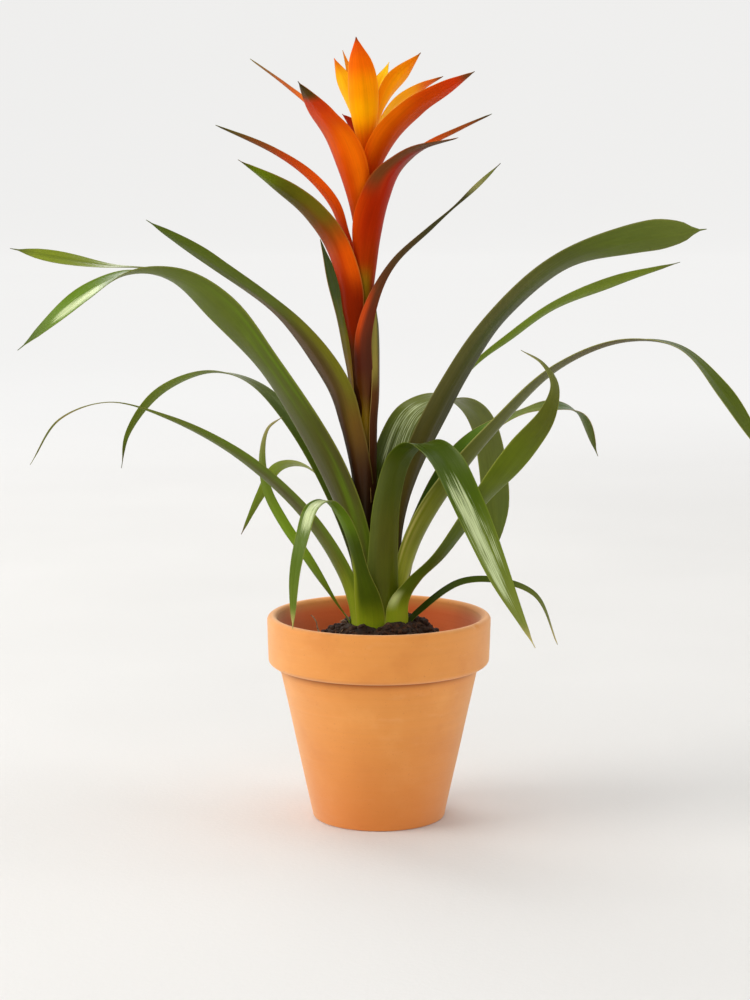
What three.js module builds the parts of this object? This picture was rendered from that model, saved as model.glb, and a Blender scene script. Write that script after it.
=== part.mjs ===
// A potted bromeliad (a flowering guzmania) in a plain clay pot, in millimetres.
//
// +Z is up, the origin is on the ground under the middle of the pot, and -Y is the front.
// Strap leaves wrap round a short stock like the coats of an onion, arch out and droop. A leafy
// flower stem rises from their middle and ends in a head of broad orange bracts.
import * as THREE from "three";
import { mergeVertices } from "three/addons/utils/BufferGeometryUtils.js";

// ---------------------------------------------------------------- driving sizes

const POT = {
  height: 129,
  rimRadius: 70, // outside of the rim band
  lipRadius: 64, // inside of the wall at the top
  bandBottom: 98, // height of the band's lower edge
  bandTaper: 0.8, // the band is this much slimmer at its lower edge
  bandCorner: 3.5, // radius of the band's lower edge
  lipRound: 3, // radius of the lip's two edges
  bodyRadius: 62.6, // outside of the body, right under the band
  footRadius: 41.8,
  footRound: 1.6,
  floor: 7, // thickness of the bottom
  floorRadius: 37.6, // inside of the wall at the bottom
  drainRadius: 8,
  sides: 56,
};

const SOIL = {
  edgeHeight: 110, // where the soil meets the wall
  crown: 12, // the middle is this much higher
  clod: 1.6, // height of the lumps
  longWaves: [0.21, 0.17], // turns of the lumps along x and y, in radians a millimetre
  shortWaves: [0.34, 0.27],
  shortShare: 0.6,
  rings: 9,
  sides: 44,
  wellRadius: 19, // the hole that the rosette's foot stands in
  wellFloor: 107.7,
};

const STEM = {
  foot: 108, // stands on the floor of the well
  stockRadius: 10.2, // the short stock that the leaves wrap
  stockRound: 1,
  stockTop: 128,
  neckRadius: 5, // half way from the stock to the stem proper
  neckTop: 172,
  radius: 4.1, // below the bracts
  radiusTo: 245, // height up to which it keeps that radius
  headRadius: 3.4, // among the bracts
  headFrom: 282,
  headTo: 400,
  tipRadius: 1.7,
  tipHeight: 440,
  lean: -8.5, // the flower stem leans this far to the left
  leanFrom: 115,
  leanTo: 188,
  sides: 14,
};

const BLADE = {
  thickness: 0.8,
  tipWidth: 1.3,
  across: 4, // strips across a blade
  perSpan: 2, // steps between two points of a route
  tightest: 105, // most that a leaf foot curls round its stem, degrees each way
};

const GAP = 0.3; // air between pieces that rest against each other

// ---------------------------------------------------------------- the leaves
//
// bearing  the way that a leaf points, in degrees: 0 is +X, 90 is +Y
// route    the midrib as [reach from the stem's middle, height] pairs, from foot to tip
// width    across the blade, measured round its curve
// curl     least half-angle of the channel along the blade, in degrees
// roll     how far the blade is turned about its midrib, in degrees
//
// bearing, width, curl and roll are given at equal steps from foot to tip.

const ROSETTE = {
  leaf_left_broad: {
    bearing: [186, 185],
    route: [
      [12.8, 108], [14, 165], [28, 214], [59, 270], [96, 317],
      [125, 335], [152, 339], [179, 329], [221, 296],
    ],
    width: [20, 22, 23, 27, 26, 25, 23, 20, 1.3],
    curl: [18],
    roll: [0, 0, 16, 28, 30, 44, 12, -34, -48],
  },
  leaf_left_upper: {
    bearing: [147, 148, 160, 170, 168],
    route: [
      [14.4, 108], [15.5, 150], [25, 193], [47, 243], [77, 295],
      [110, 324], [142, 337], [175, 343], [239, 355],
    ],
    width: [10, 10, 12, 14, 13, 1.3],
    curl: [16, 16, 10],
    roll: [0, 0, 10, 14, 14, 12, 8, -8, -45],
  },
  leaf_left_hooked: {
    bearing: [137, 150],
    route: [
      [15.8, 108], [17, 150], [37, 198], [66, 241], [100, 268],
      [133, 274], [172, 259], [194, 231], [197, 208],
    ],
    width: [12, 14, 14, 13, 11, 9, 1.3],
    curl: [16, 16, 10, 12],
    roll: [0, 0, 12, 12, 2, 4, 22, 28, 28],
  },
  leaf_left_long: {
    bearing: [193, 192],
    route: [
      [15.8, 108], [16.4, 134], [24, 158], [49, 196], [86, 230],
      [130, 255], [167, 266], [197, 256], [215, 229],
    ],
    width: [15, 16, 15, 14, 11, 7, 1.3],
    curl: [18],
    roll: [0, 4, 28, 30, 30, 28, 26, 24, 20],
  },
  leaf_left_curled: {
    bearing: [170, 172],
    route: [
      [17.4, 108], [17.8, 121], [28, 136], [46, 164], [61, 186],
      [71, 206], [74, 228], [70, 245], [61, 252],
    ],
    width: [8, 7, 7.5, 7.5, 5.5, 1.3],
    curl: [14],
    roll: [0, 20, 60, 68, 70, 60, 40],
  },
  leaf_back_left_small: {
    bearing: [122, 125],
    route: [
      [17.6, 108], [18.5, 127], [30, 165], [56, 200],
      [88, 213], [120, 208], [140, 187], [163, 158],
    ],
    width: [9, 9, 9, 8, 7, 1.3],
    curl: [14],
    roll: [0, 10, 35, 35, 30],
  },
  leaf_front_left_folded: {
    bearing: [-118, -125],
    route: [
      [17.6, 108], [18.2, 130], [25, 160], [36, 185], [47, 200],
      [60, 208], [74, 205], [81, 190], [87, 168], [90, 134],
    ],
    width: [18, 17, 11, 9.5, 10, 8, 1.3],
    curl: [14],
    roll: [0, 0],
  },
  leaf_front_folded: {
    bearing: [-82, -78, -58, -56, -55],
    route: [
      [16.4, 108], [16.8, 140], [16.6, 172], [19, 205], [28, 230],
      [46, 241], [67, 235], [90, 212], [128, 164], [156, 134],
    ],
    width: [18, 21, 19, 18, 25, 25, 22, 13, 1.3],
    curl: [16],
    roll: [0, 0],
  },
  leaf_front_right: {
    bearing: [-42, -38],
    route: [
      [17.9, 108], [18.2, 124], [26, 142], [49, 170], [78, 206],
      [109, 241], [127, 264], [131, 281], [122, 293], [106, 300],
    ],
    width: [18, 15, 12.5, 14, 16.5, 17, 12, 3, 1.3],
    curl: [14],
    roll: [0, 0, 0, -2, -7, -34, -36, -28, -25],
  },
  leaf_right_broad: {
    bearing: [-34, -20, -10, -10, -10],
    route: [
      [11.6, 108], [12, 150], [14.5, 190], [26, 231], [50, 280],
      [76, 317], [113, 349], [153, 364], [199, 370],
    ],
    width: [18, 21, 24, 24, 24, 23, 23, 21, 1.3],
    curl: [18, 18, 16, 12],
    roll: [0, 0, -14, -28, -30, -26, -24, -46, -48],
  },
  leaf_right_narrow: {
    bearing: [21, 22],
    route: [
      [13.1, 108], [14, 150], [20, 195], [38, 240], [62, 280],
      [90, 301], [120, 319], [161, 333], [210, 345],
    ],
    width: [8, 8, 8, 10, 9, 8, 1.3],
    curl: [14],
    roll: [0, 0, -15, -30, -40, -40, -25, -45, -45],
  },
  leaf_right_long: {
    bearing: [-6, -13, -15],
    route: [
      [14.7, 108], [15, 144], [23, 173], [46, 212], [76, 250],
      [112, 286], [153, 303], [185, 300], [211, 275], [240, 234],
    ],
    width: [15, 19, 24, 22, 20, 19, 18, 17, 1.3],
    curl: [30, 30, 60, 40, 20, 16, 10, 14, 14],
    roll: [0, 0, -20, -18, -12, -12, 0, 28, 42],
  },
  leaf_right_low: {
    bearing: [6, -2],
    route: [[18.2, 108], [18.4, 122], [28, 133], [51, 149], [76, 150], [98, 141], [112, 110]],
    width: [6, 5, 5, 4.5, 1.3],
    curl: [12],
    roll: [0, 20, 30, 20, 10],
  },
  leaf_back_right_drooping: {
    bearing: [40, 30, 30],
    route: [
      [16.8, 108], [17, 130], [20, 155], [30, 186], [58, 228],
      [88, 245], [124, 253], [150, 247], [166, 218],
    ],
    width: [12, 13, 12, 11, 8, 1.3],
    curl: [16],
    roll: [0, 10, 20, 30, 30, 0],
  },
  leaf_back_right_arching: {
    bearing: [80, 70, 58, 55, 54],
    route: [
      [15.1, 108], [15, 150], [17, 190], [22, 222], [36, 247],
      [64, 257], [94, 252], [115, 237], [127, 211], [136, 162],
    ],
    width: [15, 19, 22, 19, 17, 18, 1.3],
    curl: [14],
    roll: [0, 0, -5, -20, -22, -28, -38],
  },
};

const STEM_LEAVES = {
  stem_leaf_left: {
    bearing: [-140, -150, -157, -157],
    route: [[4.9, 188], [7.6, 220], [12, 247], [22, 274], [51, 313], [99, 350], [140, 376]],
    width: [14, 19, 22, 19, 16, 12, 1.3],
    curl: [20],
    roll: [0, 10, 24, 16, 10],
  },
  stem_leaf_right: {
    bearing: [-92, -90, -86, -62, -45, -34, -28, -25],
    route: [
      [4.8, 254], [8.2, 285], [10.5, 305], [15.5, 331],
      [25.5, 350], [47, 370], [68, 389], [89, 409],
    ],
    width: [12, 14, 12, 8.5, 7.5, 7, 5, 1.3],
    curl: [16],
    roll: [0, 0, -10, -25, -35, -40],
  },
  stem_leaf_back_right: {
    bearing: [17, 13],
    route: [[5.9, 248], [6.6, 275], [7.2, 305], [8, 328]],
    width: [8, 8.5, 7, 1.3],
    curl: [20],
    roll: [0, 0],
  },
  stem_leaf_back_left: {
    bearing: [160, 148],
    route: [[5.9, 246], [9, 270], [12, 290], [18, 320], [33, 362]],
    width: [9, 9.5, 9.5, 8, 1.3],
    curl: [18],
    roll: [0, 20, 50, 60, 30],
  },
};

const BRACTS = {
  bract_lower_left: {
    bearing: [-150, -150, -153, -160, -168, -170, -170],
    route: [[4.3, 286], [7, 302], [10.3, 318], [12.5, 335], [21, 362], [34, 380], [56, 397], [78, 411]],
    width: [10, 17, 22, 22, 20, 15, 1.3],
    curl: [20],
    roll: [0, 8, 28, 35, 35, 30],
  },
  bract_front_right_dark: {
    bearing: [-86, -74, -52, -44, -40],
    route: [[4.3, 326], [6.8, 345], [10, 366], [14.5, 385], [23, 403], [41, 416], [72, 424]],
    width: [10, 18, 26, 26, 20, 14, 1.3],
    curl: [18],
    roll: [0, 0],
  },
  bract_left_narrow: {
    bearing: [165, 165],
    route: [[4.3, 340], [9, 356], [13.5, 367], [20, 384], [35, 401], [58, 416], [96, 432]],
    width: [7, 9, 11, 10, 7, 5, 1.3],
    curl: [14],
    roll: [0, 50, 60, 50, 40],
  },
  bract_front_left_broad: {
    bearing: [-112, -130, -135],
    route: [[4.3, 352], [6.6, 368], [10, 384], [16.5, 404], [25, 423], [40, 440], [56, 457]],
    width: [9, 14, 23, 29, 26, 17, 1.3],
    curl: [18],
    roll: [0, 0],
  },
  bract_right_narrow: {
    bearing: [25, 25],
    route: [[4.3, 362], [6, 378], [13, 396], [37, 417], [65, 430], [87, 439]],
    width: [7, 7, 8, 7, 6, 1.3],
    curl: [14],
    roll: [0, -30, -60, -50],
  },
  bract_back_left_narrow: {
    bearing: [150, 150],
    route: [[4.2, 372], [7, 393], [14, 414], [37, 442], [56, 456], [83, 473]],
    width: [7, 8, 9, 7, 4, 1.3],
    curl: [14],
    roll: [0, 30, 65, 60],
  },
  bract_right_broad: {
    bearing: [-60, -40, -25],
    route: [[4.2, 386], [7, 400], [13, 414], [22, 428], [37, 442], [53, 452], [72, 463]],
    width: [9, 16, 22, 22, 18, 12, 1.3],
    curl: [18],
    roll: [0, -5, -15, -25, -30],
  },
  bract_inner_left: {
    bearing: [165, 165],
    route: [[4.1, 392], [7, 412], [12, 440]],
    width: [7, 10, 11, 8, 1.3],
    curl: [16],
    roll: [0, 0],
  },
  bract_back_right_narrow: {
    bearing: [45, 35],
    route: [[4.1, 397], [6.5, 415], [11.5, 431], [22, 443], [42, 454.5], [59, 462]],
    width: [6, 9, 10, 9, 7, 1.3],
    curl: [16],
    roll: [0, -30, -60, -50],
  },
  bract_top_front: {
    bearing: [-85, -95, -111],
    route: [[4.9, 410], [7.2, 425], [9.8, 440], [12, 462], [15, 484]],
    width: [6, 12, 20, 22, 16, 1.3],
    curl: [20],
    roll: [0, 0],
  },
  bract_upper_right: {
    bearing: [6, -8],
    route: [[3.6, 412], [6.5, 428], [11, 443], [19, 458], [34, 475]],
    width: [5.5, 9, 14, 13, 1.3],
    curl: [18],
    roll: [0, -5, -25, -38, -38],
  },
  bract_top_left: {
    bearing: [172, 172],
    route: [[3.6, 418], [6, 433], [12, 455], [19, 472]],
    width: [6, 10, 11, 8, 1.3],
    curl: [18],
    roll: [0, 30, 42],
  },
  bract_top_back: {
    bearing: [125, 140],
    route: [[3.3, 425], [6, 440], [11, 458], [18, 477]],
    width: [3.5, 5.5, 8, 6, 1.3],
    curl: [18],
    roll: [0, 0],
  },
  bract_top_right: {
    bearing: [45, 40],
    route: [[3.3, 424], [6, 440], [12, 456], [19, 470]],
    width: [3.5, 6, 9.5, 8, 1.3],
    curl: [18],
    roll: [0, -40, -50],
  },
};

// ---------------------------------------------------------------- finishes

const finish = (color, roughness) => new THREE.MeshStandardMaterial({ color, roughness, metalness: 0 });

const CLAY = finish(0xe0a064, 0.85);
const EARTH = finish(0x2b1d16, 0.95);
const LEAF = finish(0x4f6a1c, 0.4);
const STEM_GREEN = finish(0x5a4030, 0.5);
const BRACT = finish(0xd9581a, 0.5);
const BRACT_GOLD = finish(0xf2a51e, 0.5);

const GOLDEN = new Set([
  "bract_top_front", "bract_upper_right", "bract_top_left", "bract_top_back", "bract_top_right",
  "bract_back_right_narrow",
]);

// ---------------------------------------------------------------- helpers

const radians = THREE.MathUtils.degToRad;
const { lerp, smoothstep } = THREE.MathUtils;

/** The value at a share of the way through a list at equal steps, on a smooth curve through them all. */
function along(values, share) {
  const final = values.length - 1;
  const place = Math.min(Math.max(share, 0), 1) * final;
  const index = Math.min(Math.floor(place), Math.max(final - 1, 0));
  const at = (i) => values[Math.min(Math.max(i, 0), final)];
  const [a, b, c, d] = [at(index - 1), at(index), at(index + 1), at(index + 2)];
  const t = place - index;
  return b + 0.5 * t * (c - a + t * (2 * a - 5 * b + 4 * c - d + t * (3 * (b - c) + d - a)));
}

/** A closed geometry from its corners and its faces, each a list of corner numbers. */
function solid(corners, faces) {
  const geometry = new THREE.BufferGeometry();
  geometry.setAttribute("position", new THREE.Float32BufferAttribute(corners.flatMap((v) => v.toArray()), 3));
  geometry.setIndex(faces.flat());
  return geometry;
}

/** Two triangles for a four-cornered face. */
const quad = (a, b, c, d) => [[a, b, c], [a, c, d]];

// ---------------------------------------------------------------- leaves and bracts

/** How far left the flower stem's middle has leaned at a height. */
function stemLean(height) {
  return STEM.lean * smoothstep(height, STEM.leanFrom, STEM.leanTo);
}

/** The midrib as points in space. The rosette stands upright, and what is on the stem leans with it. */
function midrib({ bearing, route }, leans) {
  return route.map(([reach, height], i) => {
    const angle = radians(along(bearing, i / (route.length - 1)));
    const lean = leans ? stemLean(height) : 0;
    return new THREE.Vector3(lean + reach * Math.cos(angle), reach * Math.sin(angle), height);
  });
}

/** Evenly numbered stations along a midrib: place, way on, share of the length and reach at each. */
function stations(spec, leans) {
  const curve = new THREE.CatmullRomCurve3(midrib(spec, leans), false, "centripetal");
  const steps = (spec.route.length - 1) * BLADE.perSpan;
  const places = Array.from({ length: steps + 1 }, (_, i) => curve.getPoint(i / steps));
  const lengths = [0];
  for (let i = 1; i <= steps; i += 1) lengths.push(lengths[i - 1] + places[i].distanceTo(places[i - 1]));
  return places.map((place, i) => {
    const lean = leans ? stemLean(place.z) : 0;
    return {
      place,
      forward: curve.getTangent(i / steps),
      step: i / steps,
      share: lengths[i] / lengths[steps],
      reach: Math.hypot(place.x - lean, place.y),
    };
  });
}

/**
 * A strap leaf. Each cross-section is an arc: near the foot it wraps the stem, so its middle is
 * the stem's own, and further out it opens to the blade's shallow channel.
 */
function bladeGeometry(spec, leans) {
  const corners = [];
  const half = BLADE.thickness / 2;
  const rows = stations(spec, leans);
  for (const { place, forward, step, share, reach } of rows) {
    const angle = radians(along(spec.bearing, step));
    const side = new THREE.Vector3(-Math.sin(angle), Math.cos(angle), 0);
    side.addScaledVector(forward, -side.dot(forward)).normalize();
    side.applyAxisAngle(forward, radians(along(spec.roll, share)));
    const upper = new THREE.Vector3().crossVectors(forward, side);
    const width = Math.max(along(spec.width, share), BLADE.tipWidth);
    const wrap = Math.max(width / 2 / reach, radians(along(spec.curl, share)));
    const curl = Math.min(wrap, radians(BLADE.tightest));
    const bend = width / 2 / curl;
    for (let j = 0; j <= BLADE.across; j += 1) {
      const turn = curl * ((2 * j) / BLADE.across - 1);
      for (const face of [half, -half]) {
        corners.push(
          place.clone()
            .addScaledVector(side, (bend - face) * Math.sin(turn))
            .addScaledVector(upper, bend - (bend - face) * Math.cos(turn)),
        );
      }
    }
  }
  const ring = 2 * (BLADE.across + 1);
  const faces = [];
  for (let i = 0; i < rows.length - 1; i += 1) {
    const a = i * ring;
    const b = a + ring;
    for (let j = 0; j < BLADE.across; j += 1) {
      const k = 2 * j;
      faces.push(...quad(a + k, b + k, b + k + 2, a + k + 2)); // upper face
      faces.push(...quad(a + k + 3, b + k + 3, b + k + 1, a + k + 1)); // lower face
    }
    faces.push(...quad(a + 1, b + 1, b, a));
    faces.push(...quad(a + ring - 2, b + ring - 2, b + ring - 1, a + ring - 1));
  }
  const last = (rows.length - 1) * ring;
  for (let j = 0; j < BLADE.across; j += 1) {
    const k = 2 * j;
    faces.push(...quad(k, k + 2, k + 3, k + 1));
    faces.push(...quad(last + k, last + k + 1, last + k + 3, last + k + 2));
  }
  return solid(corners, faces);
}

// ---------------------------------------------------------------- stem, soil and pot

/** The stock and the flower stem in one: a round rod that narrows, leaning with its height. */
function stemGeometry() {
  const outline = [
    [0, STEM.foot],
    [STEM.stockRadius - STEM.stockRound, STEM.foot],
    [STEM.stockRadius, STEM.foot + STEM.stockRound],
    [STEM.stockRadius, STEM.stockTop],
    [STEM.neckRadius, (STEM.stockTop + STEM.neckTop) / 2],
    [STEM.radius, STEM.neckTop],
    [STEM.radius, STEM.leanTo],
    [STEM.radius, STEM.radiusTo],
    [STEM.headRadius, STEM.headFrom],
    [STEM.headRadius, STEM.headTo],
    [STEM.tipRadius, STEM.tipHeight],
    [0, STEM.tipHeight],
  ].map(([radius, height]) => new THREE.Vector2(radius, height));
  const geometry = new THREE.LatheGeometry(outline, STEM.sides).rotateX(Math.PI / 2);
  const position = geometry.getAttribute("position");
  for (let i = 0; i < position.count; i += 1) {
    position.setX(i, position.getX(i) + stemLean(position.getZ(i)));
  }
  return geometry;
}

/** A quarter round as outline points, from one angle to another about a centre. */
function round(centreX, centreY, radius, from, to, steps) {
  return Array.from({ length: steps + 1 }, (_, i) => {
    const angle = radians(lerp(from, to, i / steps));
    return new THREE.Vector2(centreX + radius * Math.cos(angle), centreY + radius * Math.sin(angle));
  });
}

/** The clay pot: a tapered cup with a thick rim band and a drain hole. */
function potGeometry() {
  const { bandCorner, lipRound, footRound } = POT;
  const bandFoot = POT.rimRadius - POT.bandTaper;
  const outline = [
    new THREE.Vector2(POT.drainRadius, 0),
    ...round(POT.footRadius - footRound, footRound, footRound, -90, 0, 2),
    new THREE.Vector2(POT.bodyRadius, POT.bandBottom),
    ...round(bandFoot - bandCorner, POT.bandBottom + bandCorner, bandCorner, -80, 0, 3),
    ...round(POT.rimRadius - lipRound, POT.height - lipRound, lipRound, 0, 90, 3),
    ...round(POT.lipRadius + lipRound, POT.height - lipRound, lipRound, 90, 180, 3).slice(1),
    new THREE.Vector2(POT.floorRadius, POT.floor),
    new THREE.Vector2(POT.drainRadius, POT.floor),
    new THREE.Vector2(POT.drainRadius, 0),
  ];
  return new THREE.LatheGeometry(outline, POT.sides).rotateX(Math.PI / 2);
}

/** Height of the soil at a place: a crowned bed with soft lumps, level where it meets the wall. */
function soilHeight(x, y) {
  const share = Math.min(1, Math.hypot(x, y) / soilRadius(SOIL.edgeHeight));
  const crowned = SOIL.crown * (1 - share ** 2);
  const [longX, longY] = SOIL.longWaves;
  const [shortX, shortY] = SOIL.shortWaves;
  const lumps = Math.cos(longX * x) * Math.cos(longY * y) + SOIL.shortShare * Math.sin(shortX * x - shortY * y);
  return SOIL.edgeHeight + crowned + SOIL.clod * lumps * (1 - share ** 4);
}

/** Radius of the soil at a height: just clear of the pot's inner wall. */
function soilRadius(height) {
  const up = (height - POT.floor) / (POT.height - POT.lipRound - POT.floor);
  return lerp(POT.floorRadius, POT.lipRadius, up) - GAP;
}

/** The filling of soil, with the well that the rosette stands in. */
function soilGeometry() {
  const bottom = POT.floor + GAP;
  const corners = [];
  const ringAt = (radius, height) => {
    for (let j = 0; j < SOIL.sides; j += 1) {
      const angle = (2 * Math.PI * j) / SOIL.sides;
      const x = radius * Math.cos(angle);
      const y = radius * Math.sin(angle);
      corners.push(new THREE.Vector3(x, y, height ?? soilHeight(x, y)));
    }
  };
  ringAt(soilRadius(bottom), bottom);
  for (let i = 0; i <= SOIL.rings; i += 1) {
    ringAt(lerp(soilRadius(SOIL.edgeHeight), SOIL.wellRadius, i / SOIL.rings), undefined);
  }
  ringAt(SOIL.wellRadius, SOIL.wellFloor);
  const ringCount = corners.length / SOIL.sides;
  const floorMiddle = corners.push(new THREE.Vector3(0, 0, bottom)) - 1;
  const wellMiddle = corners.push(new THREE.Vector3(0, 0, SOIL.wellFloor)) - 1;
  const faces = [];
  const last = (ringCount - 1) * SOIL.sides;
  for (let j = 0; j < SOIL.sides; j += 1) {
    const next = (j + 1) % SOIL.sides;
    for (let i = 0; i < ringCount - 1; i += 1) {
      const a = i * SOIL.sides;
      const b = a + SOIL.sides;
      faces.push(...quad(a + j, a + next, b + next, b + j));
    }
    faces.push([floorMiddle, next, j]);
    faces.push([wellMiddle, last + j, last + next]);
  }
  return solid(corners, faces);
}

// ---------------------------------------------------------------- assembly

/** A named mesh whose shared corners are one, ready to be a solid. */
function piece(name, geometry, material) {
  geometry.deleteAttribute("normal");
  geometry.deleteAttribute("uv");
  const closed = mergeVertices(geometry, 1e-3);
  closed.computeVertexNormals();
  const mesh = new THREE.Mesh(closed, material);
  mesh.name = name;
  return mesh;
}

const plant = new THREE.Group();
plant.add(piece("pot", potGeometry(), CLAY));
plant.add(piece("soil", soilGeometry(), EARTH));
plant.add(piece("flower_stem", stemGeometry(), STEM_GREEN));
for (const [name, spec] of Object.entries(ROSETTE)) {
  plant.add(piece(name, bladeGeometry(spec, false), LEAF));
}
for (const [name, spec] of Object.entries(STEM_LEAVES)) {
  plant.add(piece(name, bladeGeometry(spec, true), STEM_GREEN));
}
for (const [name, spec] of Object.entries(BRACTS)) {
  plant.add(piece(name, bladeGeometry(spec, true), GOLDEN.has(name) ? BRACT_GOLD : BRACT));
}

export default plant;
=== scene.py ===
"""A flowering bromeliad in a plain clay pot, dressed for its picture.

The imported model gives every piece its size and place. This script builds each leaf, bract, the
stem, the soil and the pot again with the same named sizes in finer meshes, paints them, and sets a
plain studio round them. Lengths are in millimetres until a mesh is made, in metres after that.
"""

from __future__ import annotations

import logging
import math
import random
from collections.abc import Callable, Sequence
from dataclasses import dataclass, field
from enum import Enum
from typing import ClassVar

import bmesh
import bpy
from mathutils import Euler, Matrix, Quaternion, Vector, noise


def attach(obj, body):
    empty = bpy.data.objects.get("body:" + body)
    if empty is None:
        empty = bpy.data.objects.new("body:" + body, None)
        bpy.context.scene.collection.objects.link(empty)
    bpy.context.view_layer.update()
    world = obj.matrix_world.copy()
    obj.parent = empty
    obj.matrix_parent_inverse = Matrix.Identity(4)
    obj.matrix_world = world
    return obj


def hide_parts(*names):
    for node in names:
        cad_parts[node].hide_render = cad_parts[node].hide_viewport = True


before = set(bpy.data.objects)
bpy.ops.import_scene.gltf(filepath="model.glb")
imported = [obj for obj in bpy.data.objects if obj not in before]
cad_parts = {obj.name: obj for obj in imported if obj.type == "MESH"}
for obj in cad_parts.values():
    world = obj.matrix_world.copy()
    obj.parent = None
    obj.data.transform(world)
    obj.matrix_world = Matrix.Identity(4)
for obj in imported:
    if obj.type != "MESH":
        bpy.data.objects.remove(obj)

MM = 0.001  # one millimetre in metres
LOG = logging.getLogger("bromeliad")

Colour = tuple[int, int, int]
Stop = tuple[float, Colour]
Pair = tuple[float, float]
Triple = tuple[float, float, float]
Input = "bpy.types.NodeSocket | float | Sequence[float]"


# ---------------------------------------------------------------- small sums


def clamp(value: float, low: float = 0.0, high: float = 1.0) -> float:
    """The value, kept between two limits."""
    return min(max(value, low), high)


def lerp(start: float, end: float, share: float) -> float:
    """The value a share of the way from start to end."""
    return start + (end - start) * share


def smoothstep(value: float, low: float, high: float) -> float:
    """A soft step that leaves 0 at low and reaches 1 at high."""
    t = clamp((value - low) / (high - low))
    return t * t * (3 - 2 * t)


def along(values: Sequence[float], share: float) -> float:
    """The value at a share of the way through a list at equal steps.

    Args:
        values: sizes from foot to tip, at equal steps.
        share: 0 at the foot and 1 at the tip.

    Returns:
        The size there, on a smooth curve through all the listed ones.
    """
    final = len(values) - 1
    place = clamp(share) * final
    index = min(int(place), max(final - 1, 0))
    a, b, c, d = (values[int(clamp(index + i, 0, final))] for i in (-1, 0, 1, 2))
    t = place - index
    return b + 0.5 * t * (c - a + t * (2 * a - 5 * b + 4 * c - d + t * (3 * (b - c) + d - a)))


def linear(colour: Colour) -> tuple[float, float, float, float]:
    """A colour in eight-bit screen values as the linear one that a shader takes, by the sRGB curve."""
    parts = [value / 255 for value in colour]
    lit = [p / 12.92 if p <= 0.04045 else ((p + 0.055) / 1.055) ** 2.4 for p in parts]
    return (lit[0], lit[1], lit[2], 1.0)


def ruffle(x: float, y: float, z: float) -> float:
    """Smooth noise between about -1 and 1 at a place."""
    return noise.noise(Vector((x, y, z)))


def turns(sides: int) -> list[float]:
    """Angles of a ring's corners, in radians."""
    return [2 * math.pi * j / sides for j in range(sides)]


def divided(corners: Sequence[Pair], gaps: Sequence[float], pitch: float) -> list[Pair]:
    """An outline with more points between its corners.

    Args:
        corners: (radius, height) corners.
        gaps: how long each of its lines counts.
        pitch: the most between two of the new points.

    Returns:
        The points, with the corners among them.
    """
    points = []
    for here, there, gap in zip(corners, corners[1:], gaps):
        count = max(1, math.ceil(gap / pitch))
        for i in range(count):
            points.append((lerp(here[0], there[0], i / count), lerp(here[1], there[1], i / count)))
    return [*points, corners[-1]]


# ---------------------------------------------------------------- meshes and materials


class Slot(Enum):
    """Material slots that the pieces' finishes stand for."""

    TERRACOTTA = "terracotta"
    SOIL = "potting_soil"
    STEM = "stem"
    LEAF = "leaf"
    STEM_LEAF = "stem_leaf"
    BRACT_ORANGE = "bract_orange"
    BRACT_GOLD = "bract_gold"


@dataclass
class Shape:
    """Corners in millimetres and faces of a mesh, with values that its paint reads at each corner."""

    corners: list[Vector] = field(default_factory=list)
    faces: list[tuple[int, ...]] = field(default_factory=list)
    values: dict[str, list[float]] = field(default_factory=dict)
    tones: list[Vector] = field(default_factory=list)

    def place(
        self, name: str, slot: Slot, paint: bpy.types.Material, replaces: str = ""
    ) -> bpy.types.Object:
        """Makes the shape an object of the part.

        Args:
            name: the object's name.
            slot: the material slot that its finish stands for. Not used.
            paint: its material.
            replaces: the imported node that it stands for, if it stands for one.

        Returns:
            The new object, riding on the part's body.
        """
        mesh = bpy.data.meshes.new(name)
        mesh.from_pydata([corner * MM for corner in self.corners], [], self.faces)
        mesh.polygons.foreach_set("use_smooth", [True] * len(mesh.polygons))
        for key, numbers in self.values.items():
            mesh.attributes.new(key, "FLOAT", "POINT").data.foreach_set("value", numbers)
        if self.tones:
            flat = [part for tone in self.tones for part in (*tone, 1.0)]
            mesh.attributes.new("tone", "FLOAT_COLOR", "POINT").data.foreach_set("color", flat)
        mesh.materials.append(paint)
        mesh.validate()
        mesh.update()
        piece = bpy.data.objects.new(name, mesh)
        bpy.context.scene.collection.objects.link(piece)
        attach(piece, "root")
        if replaces:
            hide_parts(replaces)
        return piece

    def wrap(self, first: int, rings: int, sides: int, joined: bool = False) -> None:
        """Adds the faces round a stack of rings of corners.

        Args:
            first: number of the first ring's first corner.
            rings: how many rings there are.
            sides: corners in each ring.
            joined: True where the last ring meets the first one. Otherwise both ends are closed.
        """
        for i in range(rings if joined else rings - 1):
            a = first + i * sides
            b = first + (i + 1) % rings * sides
            for j in range(sides):
                k = (j + 1) % sides
                self.faces.append((a + j, a + k, b + k, b + j))
        if not joined:
            end = first + (rings - 1) * sides
            self.faces.append(tuple(first + j for j in reversed(range(sides))))
            self.faces.append(tuple(end + j for j in range(sides)))


@dataclass(frozen=True)
class Pattern:
    """Cloudy noise.

    scale      clouds in one unit of the place where it is read
    detail     how many finer layers lie on it
    roughness  how strong the finer layers are
    stretch    factors that the three parts of the place are multiplied by first
    """

    scale: float = 1.0
    detail: float = 3.0
    roughness: float = 0.55
    stretch: Triple | None = None


@dataclass(frozen=True)
class Fleck:
    """Flecks of another colour where a pattern is high.

    pattern  the pattern
    colour   their colour
    limits   its values at which they begin and are full
    share    how much of the colour beneath a full one covers
    """

    pattern: Pattern
    colour: Colour
    limits: Pair
    share: float


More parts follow.
